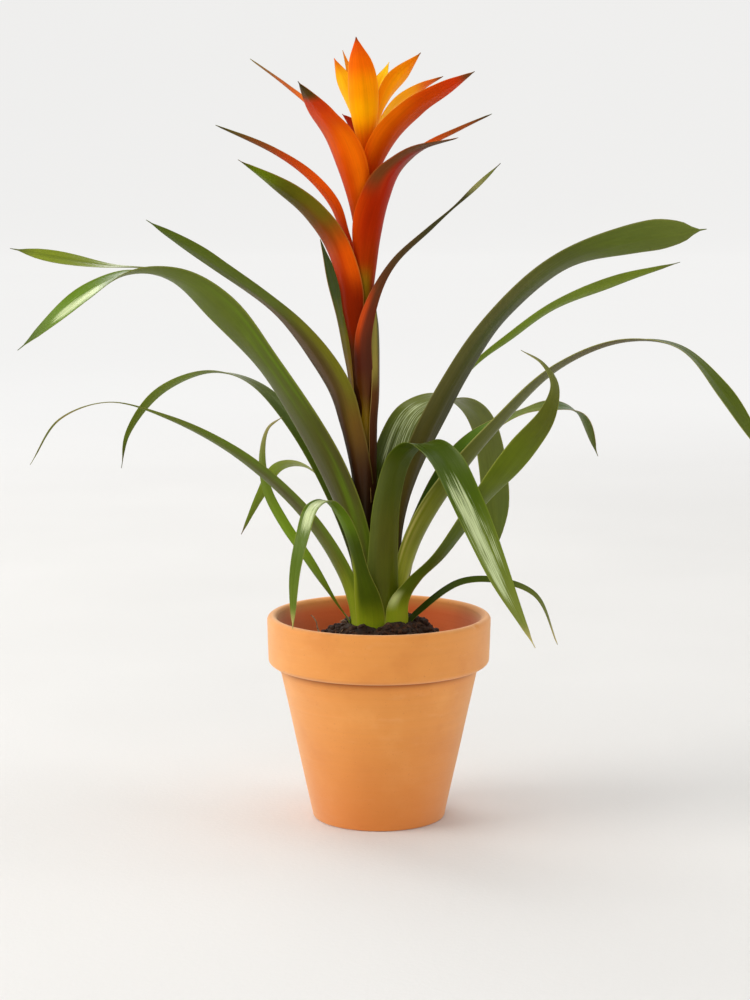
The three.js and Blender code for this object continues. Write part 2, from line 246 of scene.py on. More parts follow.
class Paint:
    """A procedural material and short ways to add and join its nodes."""

    def __init__(self, name: str) -> None:
        """Starts a material.

        Args:
            name: the material's name.
        """
        self.material = bpy.data.materials.new(name)
        self.material.use_nodes = True
        self.tree = self.material.node_tree
        self.shader = self.tree.nodes["Principled BSDF"]

    def node(self, kind: str, **settings: object) -> bpy.types.Node:
        """Adds a node of a kind, with its settings."""
        made = self.tree.nodes.new(kind)
        for key, value in settings.items():
            setattr(made, key, value)
        return made

    def feed(self, socket: bpy.types.NodeSocket, value: Input) -> None:
        """Joins an output to a socket, or sets the socket to a fixed value."""
        if isinstance(value, bpy.types.NodeSocket):
            self.tree.links.new(value, socket)
        else:
            socket.default_value = value

    def attribute(self, name: str, output: str = "Fac") -> bpy.types.NodeSocket:
        """The value, or the colour, that the mesh holds under a name."""
        return self.node("ShaderNodeAttribute", attribute_name=name).outputs[output]

    def place(self) -> bpy.types.NodeSocket:
        """The place on the part, in metres."""
        return self.node("ShaderNodeTexCoord").outputs["Object"]

    def height(self, place: Input) -> bpy.types.NodeSocket:
        """The height of a place."""
        made = self.node("ShaderNodeSeparateXYZ")
        self.feed(made.inputs[0], place)
        return made.outputs["Z"]

    def math(self, operation: str, *values: Input) -> bpy.types.NodeSocket:
        """A sum of one to three values."""
        made = self.node("ShaderNodeMath", operation=operation)
        for socket, value in zip(made.inputs, values):
            self.feed(socket, value)
        return made.outputs[0]

    def vector(self, x: Input, y: Input, z: Input) -> bpy.types.NodeSocket:
        """Three values as one place."""
        made = self.node("ShaderNodeCombineXYZ")
        for socket, value in zip(made.inputs, (x, y, z)):
            self.feed(socket, value)
        return made.outputs[0]

    def waver(self, value: Input, amount: float, middle: float = 1.0) -> bpy.types.NodeSocket:
        """A value from 0 to 1 as one that wavers by an amount in all about a middle."""
        return self.math("MULTIPLY_ADD", value, amount, middle - 0.5 * amount)

    def noise(self, place: Input, pattern: Pattern) -> bpy.types.NodeSocket:
        """A pattern's value from 0 to 1.

        Args:
            place: where it is read.
            pattern: its sizes.

        Returns:
            The value.
        """
        if pattern.stretch is not None:
            stretched = self.node("ShaderNodeVectorMath", operation="MULTIPLY")
            self.feed(stretched.inputs[0], place)
            self.feed(stretched.inputs[1], pattern.stretch)
            place = stretched.outputs["Vector"]
        made = self.node("ShaderNodeTexNoise")
        self.feed(made.inputs["Vector"], place)
        made.inputs["Scale"].default_value = pattern.scale
        made.inputs["Detail"].default_value = pattern.detail
        made.inputs["Roughness"].default_value = pattern.roughness
        return made.outputs["Fac"]

    def step(
        self, value: Input, low: float, high: float, start: float = 0.0, end: float = 1.0
    ) -> bpy.types.NodeSocket:
        """A soft step of a value.

        Args:
            value: what is stepped.
            low: where the step begins.
            high: where it ends, above low.
            start: the result below the step.
            end: the result above it.

        Returns:
            The stepped value.
        """
        made = self.node("ShaderNodeMapRange", interpolation_type="SMOOTHSTEP")
        self.feed(made.inputs["Value"], value)
        for key, number in (("From Min", low), ("From Max", high), ("To Min", start), ("To Max", end)):
            made.inputs[key].default_value = number
        return made.outputs["Result"]

    def ramp(self, value: Input, stops: Sequence[Stop]) -> bpy.types.NodeSocket:
        """A colour that changes smoothly with a value.

        Args:
            value: from 0 to 1.
            stops: (value, colour) pairs in order.

        Returns:
            The colour.
        """
        made = self.node("ShaderNodeValToRGB")
        made.color_ramp.interpolation = "EASE"
        elements = made.color_ramp.elements
        while len(elements) < len(stops):
            elements.new(1.0)
        while len(elements) > len(stops):
            elements.remove(elements[-1])
        for element, (place, colour) in zip(elements, stops):
            element.position = place
            element.color = linear(colour)
        self.feed(made.inputs["Fac"], value)
        return made.outputs["Color"]

    def mix(self, share: Input, under: Input, over: Input, blend: str = "MIX") -> bpy.types.NodeSocket:
        """One colour laid over another.

        Args:
            share: how much of the upper colour shows.
            under: the colour beneath.
            over: the colour on top.
            blend: how the two meet.

        Returns:
            The mixed colour.
        """
        made = self.node("ShaderNodeMix", data_type="RGBA", blend_type=blend)
        for index, value in ((0, share), (6, under), (7, over)):
            self.feed(made.inputs[index], value)
        return made.outputs[2]

    def fleck(self, under: Input, value: Input, fleck: Fleck) -> bpy.types.NodeSocket:
        """A colour with flecks over it, where the value of their pattern is high."""
        cover = self.step(value, *fleck.limits, 0.0, fleck.share)
        return self.mix(cover, under, linear(fleck.colour))

    def shade(self, colour: Input, value: Input) -> bpy.types.NodeSocket:
        """A colour made lighter or darker by a value about 1."""
        return self.mix(1.0, colour, self.vector(value, value, value), "MULTIPLY")

    def bump(self, height: Input, distance: float, under: Input | None = None) -> bpy.types.NodeSocket:
        """A bumpy surface.

        Args:
            height: the bumps' height from 0 to 1.
            distance: how high 1 stands, in metres.
            under: coarser bumps that these lie on.

        Returns:
            The surface's way out.
        """
        made = self.node("ShaderNodeBump")
        made.inputs["Distance"].default_value = distance
        self.feed(made.inputs["Height"], height)
        if under is not None:
            self.feed(made.inputs["Normal"], under)
        return made.outputs["Normal"]

    def finish(
        self, colour: Input, roughness: Input, normal: Input, **fixed: object
    ) -> bpy.types.Material:
        """Joins the last outputs to the shader.

        Args:
            colour: the surface's colour.
            roughness: how matt it is.
            normal: its bumps.
            **fixed: other values of the shader, set on its own sockets, with _ for each space.

        Returns:
            The finished material.
        """
        self.feed(self.shader.inputs["Base Color"], colour)
        self.feed(self.shader.inputs["Roughness"], roughness)
        self.feed(self.shader.inputs["Normal"], normal)
        for key, value in fixed.items():
            self.shader.inputs[key.replace("_", " ")].default_value = value
        return self.material


# ---------------------------------------------------------------- blades: leaves and bracts


@dataclass(frozen=True)
class Form:
    """The given form of one leaf or bract, in millimetres and degrees, foot to tip.

    bearing  the way it points: 0 is +X and 90 is +Y
    route    its midrib as (reach from the stem's middle, height) pairs
    width    across the blade, measured round its curve
    curl     least half-angle of its channel
    roll     how far the blade is turned about its midrib
    blunt    share of the length over which the tip rounds off, where the listed width doesn't say it

    bearing, width, curl and roll are given at equal steps.
    """

    bearing: tuple[float, ...]
    route: tuple[Pair, ...]
    width: tuple[float, ...]
    curl: tuple[float, ...]
    roll: tuple[float, ...]
    blunt: float = 0.0


class Face(Enum):
    """The sides of a blade that a patch of colour may lie on."""

    BOTH = 0
    UPPER = 1
    UNDER = -1


@dataclass(frozen=True)
class Spot:
    """A place on a blade.

    share    along it, 0 at the foot and 1 at the tip
    lateral  across it, -1 and 1 at the margins
    facing   1 on the upper face and -1 on the lower
    streak   the blade's streaks there, 0 to 1
    """

    share: float
    lateral: float
    facing: float
    streak: float


@dataclass(frozen=True)
class Patch:
    """A stretch of a blade with a colour of its own.

    span      where it starts and ends along the blade
    across    where it starts and ends across it
    strength  how much of the colour beneath it covers
    face      the face that it lies on
    fade      how far its ends take to fade, as a share of the length
    streaky   True where it breaks up into long streaks
    """

    colour: Colour
    span: Pair
    across: Pair = (-2.0, 2.0)
    strength: float = 0.8
    face: Face = Face.BOTH
    fade: float = 0.05
    streaky: bool = False
    side_fade: ClassVar[float] = 0.28
    streak_step: ClassVar[Pair] = (0.42, 0.68)

    def cover(self, spot: Spot) -> float:
        """How much of the blade's own colour the patch hides.

        Args:
            spot: the place.

        Returns:
            The cover, 0 to 1.
        """
        if self.face.value * spot.facing < 0:
            return 0.0
        cover = self.strength
        along_it = (spot.share, self.span, self.fade)
        across_it = (spot.lateral, self.across, self.side_fade)
        for at, (start, end), fade in (along_it, across_it):
            cover *= smoothstep(at, start - fade, start + fade)
            cover *= 1 - smoothstep(at, end - fade, end + fade)
        return cover * smoothstep(spot.streak, *self.streak_step) if self.streaky else cover


@dataclass(frozen=True)
class Tint:
    """The colours along one leaf or bract.

    upper    (share of the length, colour) stops of the upper face
    under    the same for the lower face, or empty where it is like the upper
    margin   the thin line along both margins
    edge     how plainly that line shows
    patches  stretches with a colour of their own, among them a few painted highlights, laid on in order
    bloom    stretches of painted highlight: a pale shine that breaks up into fine streaks
    """

    upper: tuple[Stop, ...]
    under: tuple[Stop, ...] = ()
    margin: Colour = (150, 165, 90)
    edge: float = 0.5
    patches: tuple[Patch, ...] = ()
    painted_highlight: tuple[Patch, ...] = ()
    line: ClassVar[Pair] = (0.93, 0.985)  # across the blade: where the thin line begins and is full

    def shine(self, spot: Spot) -> float:
        """How strong the painted highlight is at a place, 0 to 1."""
        return max((patch.cover(spot) for patch in self.painted_highlight), default=0.0)

    def tone(self, spot: Spot) -> Vector:
        """The linear colour of the blade at a place."""
        stops = self.under if spot.facing < 0 and self.under else self.upper
        colour = between(stops, spot.share)
        for patch in self.patches:
            colour = colour.lerp(hue(patch.colour), patch.cover(spot))
        return colour.lerp(hue(self.margin), smoothstep(abs(spot.lateral), *self.line) * self.edge)


def hue(colour: Colour) -> Vector:
    """A colour's linear red, green and blue."""
    return Vector(linear(colour)[:3])


def between(stops: Sequence[Stop], share: float) -> Vector:
    """The linear colour between two stops at a share of the way."""
    for (start, first), (end, second) in zip(stops, stops[1:]):
        if share <= end:
            return hue(first).lerp(hue(second), smoothstep(share, start, end))
    return hue(stops[-1][1])


@dataclass(frozen=True)
class Skin:
    """The skin that the leaves or the bracts share, over each one's own colours.

    streaks     how far the fine streaks lighten and darken the colour
    roughness   of the lower face and of the upper
    ribs        height of the fine ribs, in metres
    coat        strength of the waxy gloss
    glow        how much light the flesh lets through
    shine       colour of the painted highlight
    level       how strongly the skin mirrors
    cast        tint that the waxy skin lays over every colour
    mirror      colour of what it mirrors

    The patterns are read at three values: millimetres across the blade, millimetres along it and
    the face. The third factor keeps those of the two faces apart.
    """

    name: str
    streaks: float
    roughness: Pair
    ribs: float
    coat: float
    glow: float
    shine: Colour = (200, 212, 158)
    level: float = 0.16
    cast: Colour = (248, 228, 178)
    mirror: Colour = (255, 255, 190)
    fine: ClassVar[Pattern] = Pattern(detail=2.0, stretch=(1.9, 0.035, 9.0))
    broad: ClassVar[Pattern] = Pattern(stretch=(0.5, 0.012, 9.0))
    clouds: ClassVar[Pattern] = Pattern(detail=4.0, stretch=(0.12, 0.06, 9.0))
    specks: ClassVar[Pattern] = Pattern(detail=2.0, roughness=0.7, stretch=(1.6, 1.28, 14.4))
    hairs: ClassVar[Pattern] = Pattern(detail=4.0, roughness=0.62, stretch=(1.15, 0.028, 9.0))
    broad_share: ClassVar[float] = 1.5  # how plain the broad streaks are beside the fine ones
    cloud_share: ClassVar[float] = 1.1
    speck_share: ClassVar[float] = 0.5
    speck_step: ClassVar[Pair] = (0.62, 0.74)  # noise at which the specks begin and are full
    hair_step: ClassVar[Pair] = (0.5, 0.74)  # the same for the streaks of the painted highlight
    hair_lift: ClassVar[Pair] = (0.42, -0.2)  # how the painted highlight's strength moves that noise: factor, offset
    shine_step: ClassVar[Pair] = (0.02, 0.3)
    rib_swell: ClassVar[float] = 2.4  # height of the broad ribs over that of the fine ones
    unevenness: ClassVar[float] = 0.22  # how far the roughness wavers
    polish: ClassVar[float] = 0.12  # how much smoother the painted highlight streaks are
    coat_roughness: ClassVar[float] = 0.2
    glow_depth: ClassVar[float] = 0.0012  # how deep light goes into the flesh, in metres
    glow_reach: ClassVar[Triple] = (0.9, 0.7, 0.25)  # shares of it for red, green and blue

    def paint(self) -> bpy.types.Material:
        """Builds the material: colours of the blade, streaks and ribs along it, a painted highlight in pale
        streaks, and a waxy gloss.
        """
        p = Paint(self.name)
        facing, painted_highlight = p.attribute("facing"), p.attribute("painted_highlight")
        where = p.vector(p.attribute("vein"), p.attribute("run"), facing)
        patterns = (self.fine, self.broad, self.clouds, self.specks, self.hairs)
        fine, broad, cloud, speck, hair = (p.noise(where, pattern) for pattern in patterns)
        widely = p.waver(broad, self.broad_share * self.streaks)
        lined = p.math("MULTIPLY", p.waver(fine, self.streaks), widely)
        dotted = p.step(speck, *self.speck_step, 1.0, 1.0 - self.speck_share * self.streaks)
        clouded = p.math("MULTIPLY", p.waver(cloud, self.cloud_share * self.streaks), dotted)
        value = p.math("MULTIPLY", lined, clouded)
        flesh = p.mix(1.0, p.shade(p.attribute("tone", "Color"), value), linear(self.cast), "MULTIPLY")
        # painted highlight: pale streaks mixed into the colour where the mesh's highlight mask is high
        lifted = p.math("ADD", hair, p.math("MULTIPLY_ADD", painted_highlight, *self.hair_lift))
        streaky = p.step(lifted, *self.hair_step)
        shining = p.math("MULTIPLY", streaky, p.step(painted_highlight, *self.shine_step))
        side = p.step(facing, -0.5, 0.5, *self.roughness)
        rough = p.math("ADD", side, p.waver(broad, self.unevenness, 0.0))
        return p.finish(
            p.mix(shining, flesh, linear(self.shine)),
            p.math("MULTIPLY_ADD", shining, -self.polish, rough),
            p.bump(broad, self.ribs * self.rib_swell, p.bump(fine, self.ribs)),
            Coat_Weight=self.coat,
            Coat_Roughness=self.coat_roughness,
            Subsurface_Weight=self.glow,
            Subsurface_Radius=self.glow_reach,
            Subsurface_Scale=self.glow_depth,
            Specular_IOR_Level=self.level,
            Specular_Tint=linear(self.mirror),
        )


@dataclass(frozen=True)
class Lean:
    """How the flower stem leans to the left as it rises."""

    offset: float = -8.5
    start: float = 115
    end: float = 188

    def at(self, height: float) -> float:
        """How far the stem's middle is to the side at a height."""
        return self.offset * smoothstep(height, self.start, self.end)


LEAN = Lean()


@dataclass(frozen=True)
class Station:
    """A place on a midrib: the way on, steps and length so far as shares, and reach."""

    place: Vector
    forward: Vector
    step: float
    share: float
    length: float
    reach: float


@dataclass
class Blade:
    """One strap leaf or bract, whose sections are arcs that wrap the stem and open to a channel."""

    name: str
    form: Form
    tint: Tint
    slot: Slot
    leans: bool
    order: int
    half: float = 0.4  # half its thickness along the middle
    margin_half: float = 0.14  # half its thickness at the margins
    thins_from: float = 0.35  # where it begins to thin across the blade
    tip_width: float = 0.7
    ogive: float = 1.7  # how full a blunt tip is
    point_width: float = 0.35
    point_from: float = 0.96  # share of the length where the point begins
    tightest: float = 105  # most of its half-angle round the stem
    strips: int = 16
    per_span: int = 11
    furrow: float = 0.35  # depth of the furrow along the middle
    furrow_width: float = 0.16
    pleat: float = 0.07  # height of the soft pleats beside it
    pleats: float = 19.0  # how close they stand
    ripple: float = 0.45  # how far the margins wave
    wave: float = 21.0  # length of those waves over two pi
    wave_share: float = 0.6
    wave_shift: float = 1.3  # so that the two margins don't wave together
    swell: float = 34.0  # length of their slower rise and fall
    swell_share: float = 1.2
    relief_from: Pair = (0.12, 0.4)  # where the furrow, pleats and waves begin and are full
    relief_to: Pair = (0.9, 1.0)  # and where they die away
    full_width: float = 16.0  # they are lower on a blade narrower than this
    streaks: Pair = (0.5, 0.012)  # how close the streaks lie across the blade and along it
    apart: float = 500.0  # keeps the patterns of two blades apart, as do the next three
    streak_seed: float = 3.7
    swell_seed: float = 5.3
    wave_seed: float = 1.7

    def midrib(self) -> list[Vector]:
        """The midrib's listed points in space."""
        points = []
        last = len(self.form.route) - 1
        for i, (reach, height) in enumerate(self.form.route):
            angle = math.radians(along(self.form.bearing, i / last))
            lean = LEAN.at(height) if self.leans else 0.0
            points.append(Vector((lean + reach * math.cos(angle), reach * math.sin(angle), height)))
        return points

    def stations(self) -> list[Station]:
        """Evenly numbered places along the midrib."""
        rib = Spline(self.midrib())
        steps = (len(self.form.route) - 1) * self.per_span
        places = [rib.point(i / steps) for i in range(steps + 1)]
        lengths = [0.0]
        for here, there in zip(places, places[1:]):
            lengths.append(lengths[-1] + (there - here).length)
        made = []
        for i, place in enumerate(places):
            lean = LEAN.at(place.z) if self.leans else 0.0
            reach = math.hypot(place.x - lean, place.y)
            share = lengths[i] / lengths[-1]
            made.append(Station(place, rib.way(i / steps), i / steps, share, lengths[i], reach))
        return made

    def width(self, share: float) -> float:
        """Width at a share of the length: the listed one, drawn out to a fine point at the tip."""
        full = max(along(self.form.width, share), self.tip_width)
        if self.form.blunt > 0:
            into = clamp((share - 1 + self.form.blunt) / self.form.blunt)
            full = max(full * (1 - into**self.ogive), self.tip_width)
        return lerp(full, min(full, self.point_width), smoothstep(share, self.point_from, 1.0))

    def shape(self) -> Shape:
        """The closed blade: both faces, with what their paint reads."""
        shape = Shape(values={"vein": [], "run": [], "facing": [], "painted_highlight": []})
        rows = self.stations()
        widest = max(self.form.width)
        for row in rows:
            self.section(shape, row, widest)
        ring = 2 * (self.strips + 1)
        for i in range(len(rows) - 1):
            a = i * ring
            b = a + ring
            for k in range(0, 2 * self.strips, 2):
                shape.faces.append((a + k, b + k, b + k + 2, a + k + 2))
                shape.faces.append((a + k + 3, b + k + 3, b + k + 1, a + k + 1))
            shape.faces.append((a + 1, b + 1, b, a))
            shape.faces.append((a + ring - 2, b + ring - 2, b + ring - 1, a + ring - 1))
        last = (len(rows) - 1) * ring
        for k in range(0, 2 * self.strips, 2):
            shape.faces.append((k, k + 2, k + 3, k + 1))
            shape.faces.append((last + k, last + k + 1, last + k + 3, last + k + 2))
        return shape

    def section(self, shape: Shape, row: Station, widest: float) -> None:
        """Adds one cross-section to the shape.

        Args:
            shape: the blade so far.
            row: where the section stands.
            widest: the blade's greatest width.
        """
        form = self.form
        angle = math.radians(along(form.bearing, row.step))
        side = Vector((-math.sin(angle), math.cos(angle), 0))
        side = (side - row.forward * side.dot(row.forward)).normalized()
        side.rotate(Quaternion(row.forward, math.radians(along(form.roll, row.share))))
        upper = row.forward.cross(side)
        width = self.width(row.share)
        wrap = max(width / 2 / row.reach, math.radians(along(form.curl, row.share)))
        curl = min(wrap, math.radians(self.tightest))
        bend = width / 2 / curl
        open_share = smoothstep(row.share, *self.relief_from) * (1 - smoothstep(row.share, *self.relief_to))
        across, onward = self.streaks
        for j in range(self.strips + 1):
            t = 2 * j / self.strips - 1
            lateral = t * (1.5 - 0.5 * t * t)  # strips get narrower towards the margins
            turn = curl * lateral
            half = lerp(self.half, self.margin_half, smoothstep(abs(lateral), self.thins_from, 1.0))
            half = min(half, width / 3)
            lift = self.relief(row, lateral, width) * open_share
            vein = lateral * widest / 2
            streak = 0.5 + 0.5 * ruffle(vein * across, row.length * onward, self.order * self.streak_seed)
            for facing in (1, -1):
                face = half * facing + lift
                out = side * ((bend - face) * math.sin(turn))
                up = upper * (bend - (bend - face) * math.cos(turn))
                spot = Spot(row.share, lateral, facing, streak)
                shape.corners.append(row.place + out + up)
                shape.tones.append(self.tint.tone(spot))
                shape.values["vein"].append(vein)
                shape.values["run"].append(row.length + self.apart * self.order)
                shape.values["facing"].append(float(facing))
                shape.values["painted_highlight"].append(self.tint.shine(spot))

    def relief(self, row: Station, lateral: float, width: float) -> float:
        """How far the blade stands off its plain arc at a place: furrow, pleats and waved margins.

        Args:
            row: where the section stands.
            lateral: place across it, -1 to 1.
            width: width there.

        Returns:
            The height over the arc.
        """
        size = clamp(width / self.full_width)
        furrow = -self.furrow * math.exp(-((lateral / self.furrow_width) ** 2))
        pleats = self.pleat * math.cos(lateral * self.pleats)
        swell = ruffle(row.length / self.swell, self.order * self.swell_seed, math.copysign(3.0, lateral))
        shift = self.wave_shift if lateral > 0 else 0.0
        beat = math.sin(row.length / self.wave + self.order * self.wave_seed + shift)
        wavy = self.ripple * (self.wave_share * beat + self.swell_share * swell) * abs(lateral) ** 3
        return (furrow + pleats + wavy) * size

    def build(self, paint: bpy.types.Material) -> bpy.types.Object:
        """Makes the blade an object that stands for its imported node."""
        return self.shape().place(self.name + "_blade", self.slot, paint, self.name)


class Spline:
    """A smooth line through points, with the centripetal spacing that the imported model's leaves have."""

    def __init__(self, points: Sequence[Vector]) -> None:
        """Keeps the points, with one more past each end.

        Args:
            points: where the line passes.
        """
        before = points[0] * 2 - points[1]
        after = points[-1] * 2 - points[-2]
        self.points = [before, *points, after]
        self.spans = len(points) - 1

    def point(self, share: float) -> Vector:
        """The place at a share of the way, counted in equal spans.

        Args:
            share: 0 at the start and 1 at the end.

        Returns:
            The place there.
        """
        at = clamp(share) * self.spans
        index = min(int(at), self.spans - 1)
        t = at - index
        a, b, c, d = self.points[index : index + 4]
        before, middle, after = (max((q - p).length, 1e-6) ** 0.5 for p, q in ((a, b), (b, c), (c, d)))
        leave = ((b - a) / before - (c - a) / (before + middle) + (c - b) / middle) * middle
        arrive = ((c - b) / middle - (d - b) / (middle + after) + (d - c) / after) * middle
        square = (c - b) * 3 - leave * 2 - arrive
        cube = (b - c) * 2 + leave + arrive
        return b + (leave + (square + cube * t) * t) * t

    def way(self, share: float) -> Vector:
        """The way on at a share of the line."""
        near = 1e-4
        return (self.point(min(share + near, 1)) - self.point(max(share - near, 0))).normalized()


# ---------------------------------------------------------------- forms of the blades

ROSETTE: dict[str, Form] = {
    "leaf_left_broad": Form(
        bearing=(186, 185),
        route=(
            (12.8, 108), (14, 165), (28, 214), (59, 270), (97, 319),
            (124, 339), (151, 342.5), (179, 330), (221, 296),
        ),
        width=(20, 24, 26, 27, 27, 28, 22, 18, 14), blunt=0.16, curl=(18,),
        roll=(20, 34, 38, 36, 32, 44, 12, -34, -48),
    ),
    "leaf_left_upper": Form(
        bearing=(147, 148, 160, 170, 168),
        route=(
            (14.4, 108), (15.5, 150), (25, 193), (47, 243), (77, 295),
            (110, 330), (142, 343), (175, 345), (239, 355),
        ),
        width=(10, 10, 11, 13, 14, 13, 11, 4, 8, 12, 12), blunt=0.13, curl=(16, 16, 10),
        roll=(0, 0, 10, 14, 14, 12, 8, -30, -78),
    ),
    "leaf_left_hooked": Form(
        bearing=(137, 150),
        route=(
            (15.8, 108), (17, 150), (37, 198), (66, 241), (100, 268),
            (133, 274), (172, 259), (194, 231), (197, 208),
        ),
        width=(8, 8.5, 10.5, 12, 8.5, 8.5, 7), blunt=0.2, curl=(16, 16, 10, 12),
        roll=(0, 0, -16, -34, -20, 6, 20, 22, 20),
    ),
    "leaf_left_long": Form(
        bearing=(193, 192),
        route=(
            (15.8, 108), (16.4, 134), (24, 158), (49, 196), (86, 230),
            (130, 255), (167, 266), (197, 256), (215, 229),
        ),
        width=(19, 18, 16, 15, 14, 13, 11, 8, 1.8, 0.8, 2.8, 0.8), curl=(18,),
        roll=(16, 26, 30, 30, 30, 28, 26, 24, 20),
    ),
    "leaf_left_curled": Form(
        bearing=(170, 172),
        route=(
            (17.4, 108), (17.8, 121), (28, 136), (46, 164), (61, 186),
            (71, 206), (74, 228), (70, 245), (61, 252),
        ),
        width=(8, 7, 7.5, 7.5, 5.5, 1.3), curl=(14,), roll=(0, 20, 60, 68, 70, 60, 40),
    ),
    "leaf_back_left_small": Form(
        bearing=(122, 125),
        route=(
            (17.6, 108), (18.5, 127), (30, 165), (56, 200),
            (88, 213), (120, 208), (140, 187), (163, 158),
        ),
        width=(9, 9, 9, 8, 7, 1.3), curl=(14,), roll=(0, 10, 35, 35, 30),
    ),
    "leaf_front_left_folded": Form(
        bearing=(-115, -110, -117, -119, -121, -122, -123, -124, -125, -125),
        route=(
            (17.6, 108), (18.2, 130), (25, 160), (36, 185), (47, 200),
            (60, 208), (74, 205), (81, 190), (87, 168), (90, 134),
        ),
        width=(20, 20, 20, 17, 11.5, 9.5, 9.5, 9.5, 9.5, 9.5, 10, 10, 9.5, 8.5, 7, 4.5, 1.3),
        curl=(14,), roll=(0, 0),
    ),
    "leaf_front_folded": Form(
        bearing=(-82, -78, -58, -56, -55),
        route=(
            (16.4, 108), (16.8, 140), (16.6, 172), (19, 205), (28, 230),
            (46, 241), (67, 235), (90, 212), (128, 164), (156, 134),
        ),
        width=(18, 21, 19, 18, 25, 25, 22, 13, 1.3), curl=(16,), roll=(0, 0),
    ),
    "leaf_front_right": Form(
        bearing=(-45, -40, -38),
        route=(
            (17.9, 108), (18.2, 124), (18.9, 138), (28, 152), (49, 171), (78, 206),
            (109, 241), (127, 264), (131, 281), (122, 293), (106, 300),
        ),
        width=(22, 22, 19, 14, 12.5, 12.5, 13.2, 14.3, 16, 17.3, 18, 17.8, 15, 10, 5, 2.2, 1.2),
        curl=(14,), roll=(0, -3, -8, -10, -12, -34, -36, -28, -25),
    ),
    "leaf_right_broad": Form(
        bearing=(-34, -20, -10, -10, -10),
        route=(
            (11.6, 108), (12, 150), (14.5, 190), (26, 231), (50, 280),
            (76, 317), (113, 349), (153, 362.5), (199, 370),
        ),
        width=(18, 21, 24, 24, 24, 23, 23, 24, 24), blunt=0.09, curl=(18, 18, 16, 12),
        roll=(0, -4, -16, -28, -30, -26, -28, -50, -58),
    ),
    "leaf_right_narrow": Form(
        bearing=(21, 22),
        route=(
            (13.1, 108), (13, 150), (16, 195), (33, 240), (61, 280),
            (90, 301), (120, 319), (161, 333), (210, 345),
        ),
        width=(7, 7, 7, 5, 8.5, 10.5, 1.3), curl=(14,),
        roll=(0, 0, -15, -30, -46, -52, -46, -58, -60),
    ),
    "leaf_right_long": Form(
        bearing=(-6, -13, -15),
        route=(
            (14.7, 108), (15, 144), (23, 173), (46, 212), (76, 250),
            (112, 286), (153, 303), (185, 300), (211, 275), (240, 234),
        ),
        width=(20, 22, 24, 22, 20, 16, 12, 16, 15), blunt=0.14,
        curl=(30, 30, 60, 40, 20, 16, 10, 14, 14), roll=(-14, -24, -26, -18, -12, -12, 0, 28, 42),
    ),
    "leaf_right_low": Form(
        bearing=(6, -2),
        route=((18.2, 108), (18.4, 122), (28, 133), (51, 149), (76, 150), (98, 141), (112, 110)),
        width=(6, 4.7, 4.3, 4, 1.3), curl=(12,), roll=(0, 48, 56, 38, 15),
    ),
    "leaf_back_right_drooping": Form(
        bearing=(40, 30, 30),
        route=(
            (16.8, 108), (17, 130), (20, 155), (30, 186), (58, 228),
            (88, 245), (124, 253), (150, 247), (166, 218),
        ),
        width=(12, 13, 13, 12, 12, 11, 9, 5, 13, 11, 1.3), curl=(16,),
        roll=(0, 10, 20, 30, 24, -20),
    ),
    "leaf_back_right_arching": Form(
        bearing=(84, 76, 51, 53, 54),
        route=(
            (15.1, 108), (15, 150), (17, 190), (21, 224), (34, 251),
            (63, 260), (94, 252), (115, 237), (127, 211), (137, 152),
        ),
        width=(15, 17, 20, 24, 25, 22, 19, 18, 17, 18, 19, 17, 1.3), curl=(14,),
        roll=(0, 0, 8, 14, -16, -28, -38),
    ),
}

STEM_LEAVES: dict[str, Form] = {
    "stem_leaf_left": Form(
        bearing=(-140, -142, -150, -155, -157, -157, -157),
        route=(
            (4.9, 150), (5.0, 188), (8.3, 220), (13.2, 247),
            (20.8, 274), (49.5, 313), (99, 350), (140, 376),
        ),
        width=(25, 25, 24, 23, 20, 16.5, 13.8, 12), curl=(20,), roll=(0, 0, 14, 24, 17, 24, 38),
        blunt=0.16,
    ),
    "stem_leaf_right": Form(
        bearing=(-104, -104, -104, -104, -96, -64, -45, -34, -28, -25),
        route=(
            (4.7, 206), (4.7, 230), (4.9, 254), (8.2, 285), (10.5, 305),
            (15.5, 331), (25.5, 350), (47, 370), (68, 389), (89, 409),
        ),
        width=(21, 21, 20, 17, 13.5, 11, 8, 5.4, 4.6, 3.6, 1.6, 3.6, 1.0), curl=(16,),
        roll=(0, 0, -6, -12, -26, -36, -42),
    ),
    "stem_leaf_back_right": Form(
        bearing=(-20, -21, -25, -30, -34),
        route=((6.6, 200), (6.8, 228), (7.2, 251), (8.3, 266), (8.6, 288), (8.3, 306), (7.5, 324)),
        width=(9, 11, 12, 11.5, 10, 12, 8), curl=(20,), roll=(0, 0), blunt=0.3,
    ),
    "stem_leaf_back_left": Form(
        bearing=(160, 148), route=((5.9, 246), (9, 270), (12, 290), (18, 320), (33, 362)),
        width=(9, 10.5, 11, 11.5, 1.3), curl=(18,), roll=(0, -6, -12, -14, -8),
    ),
}

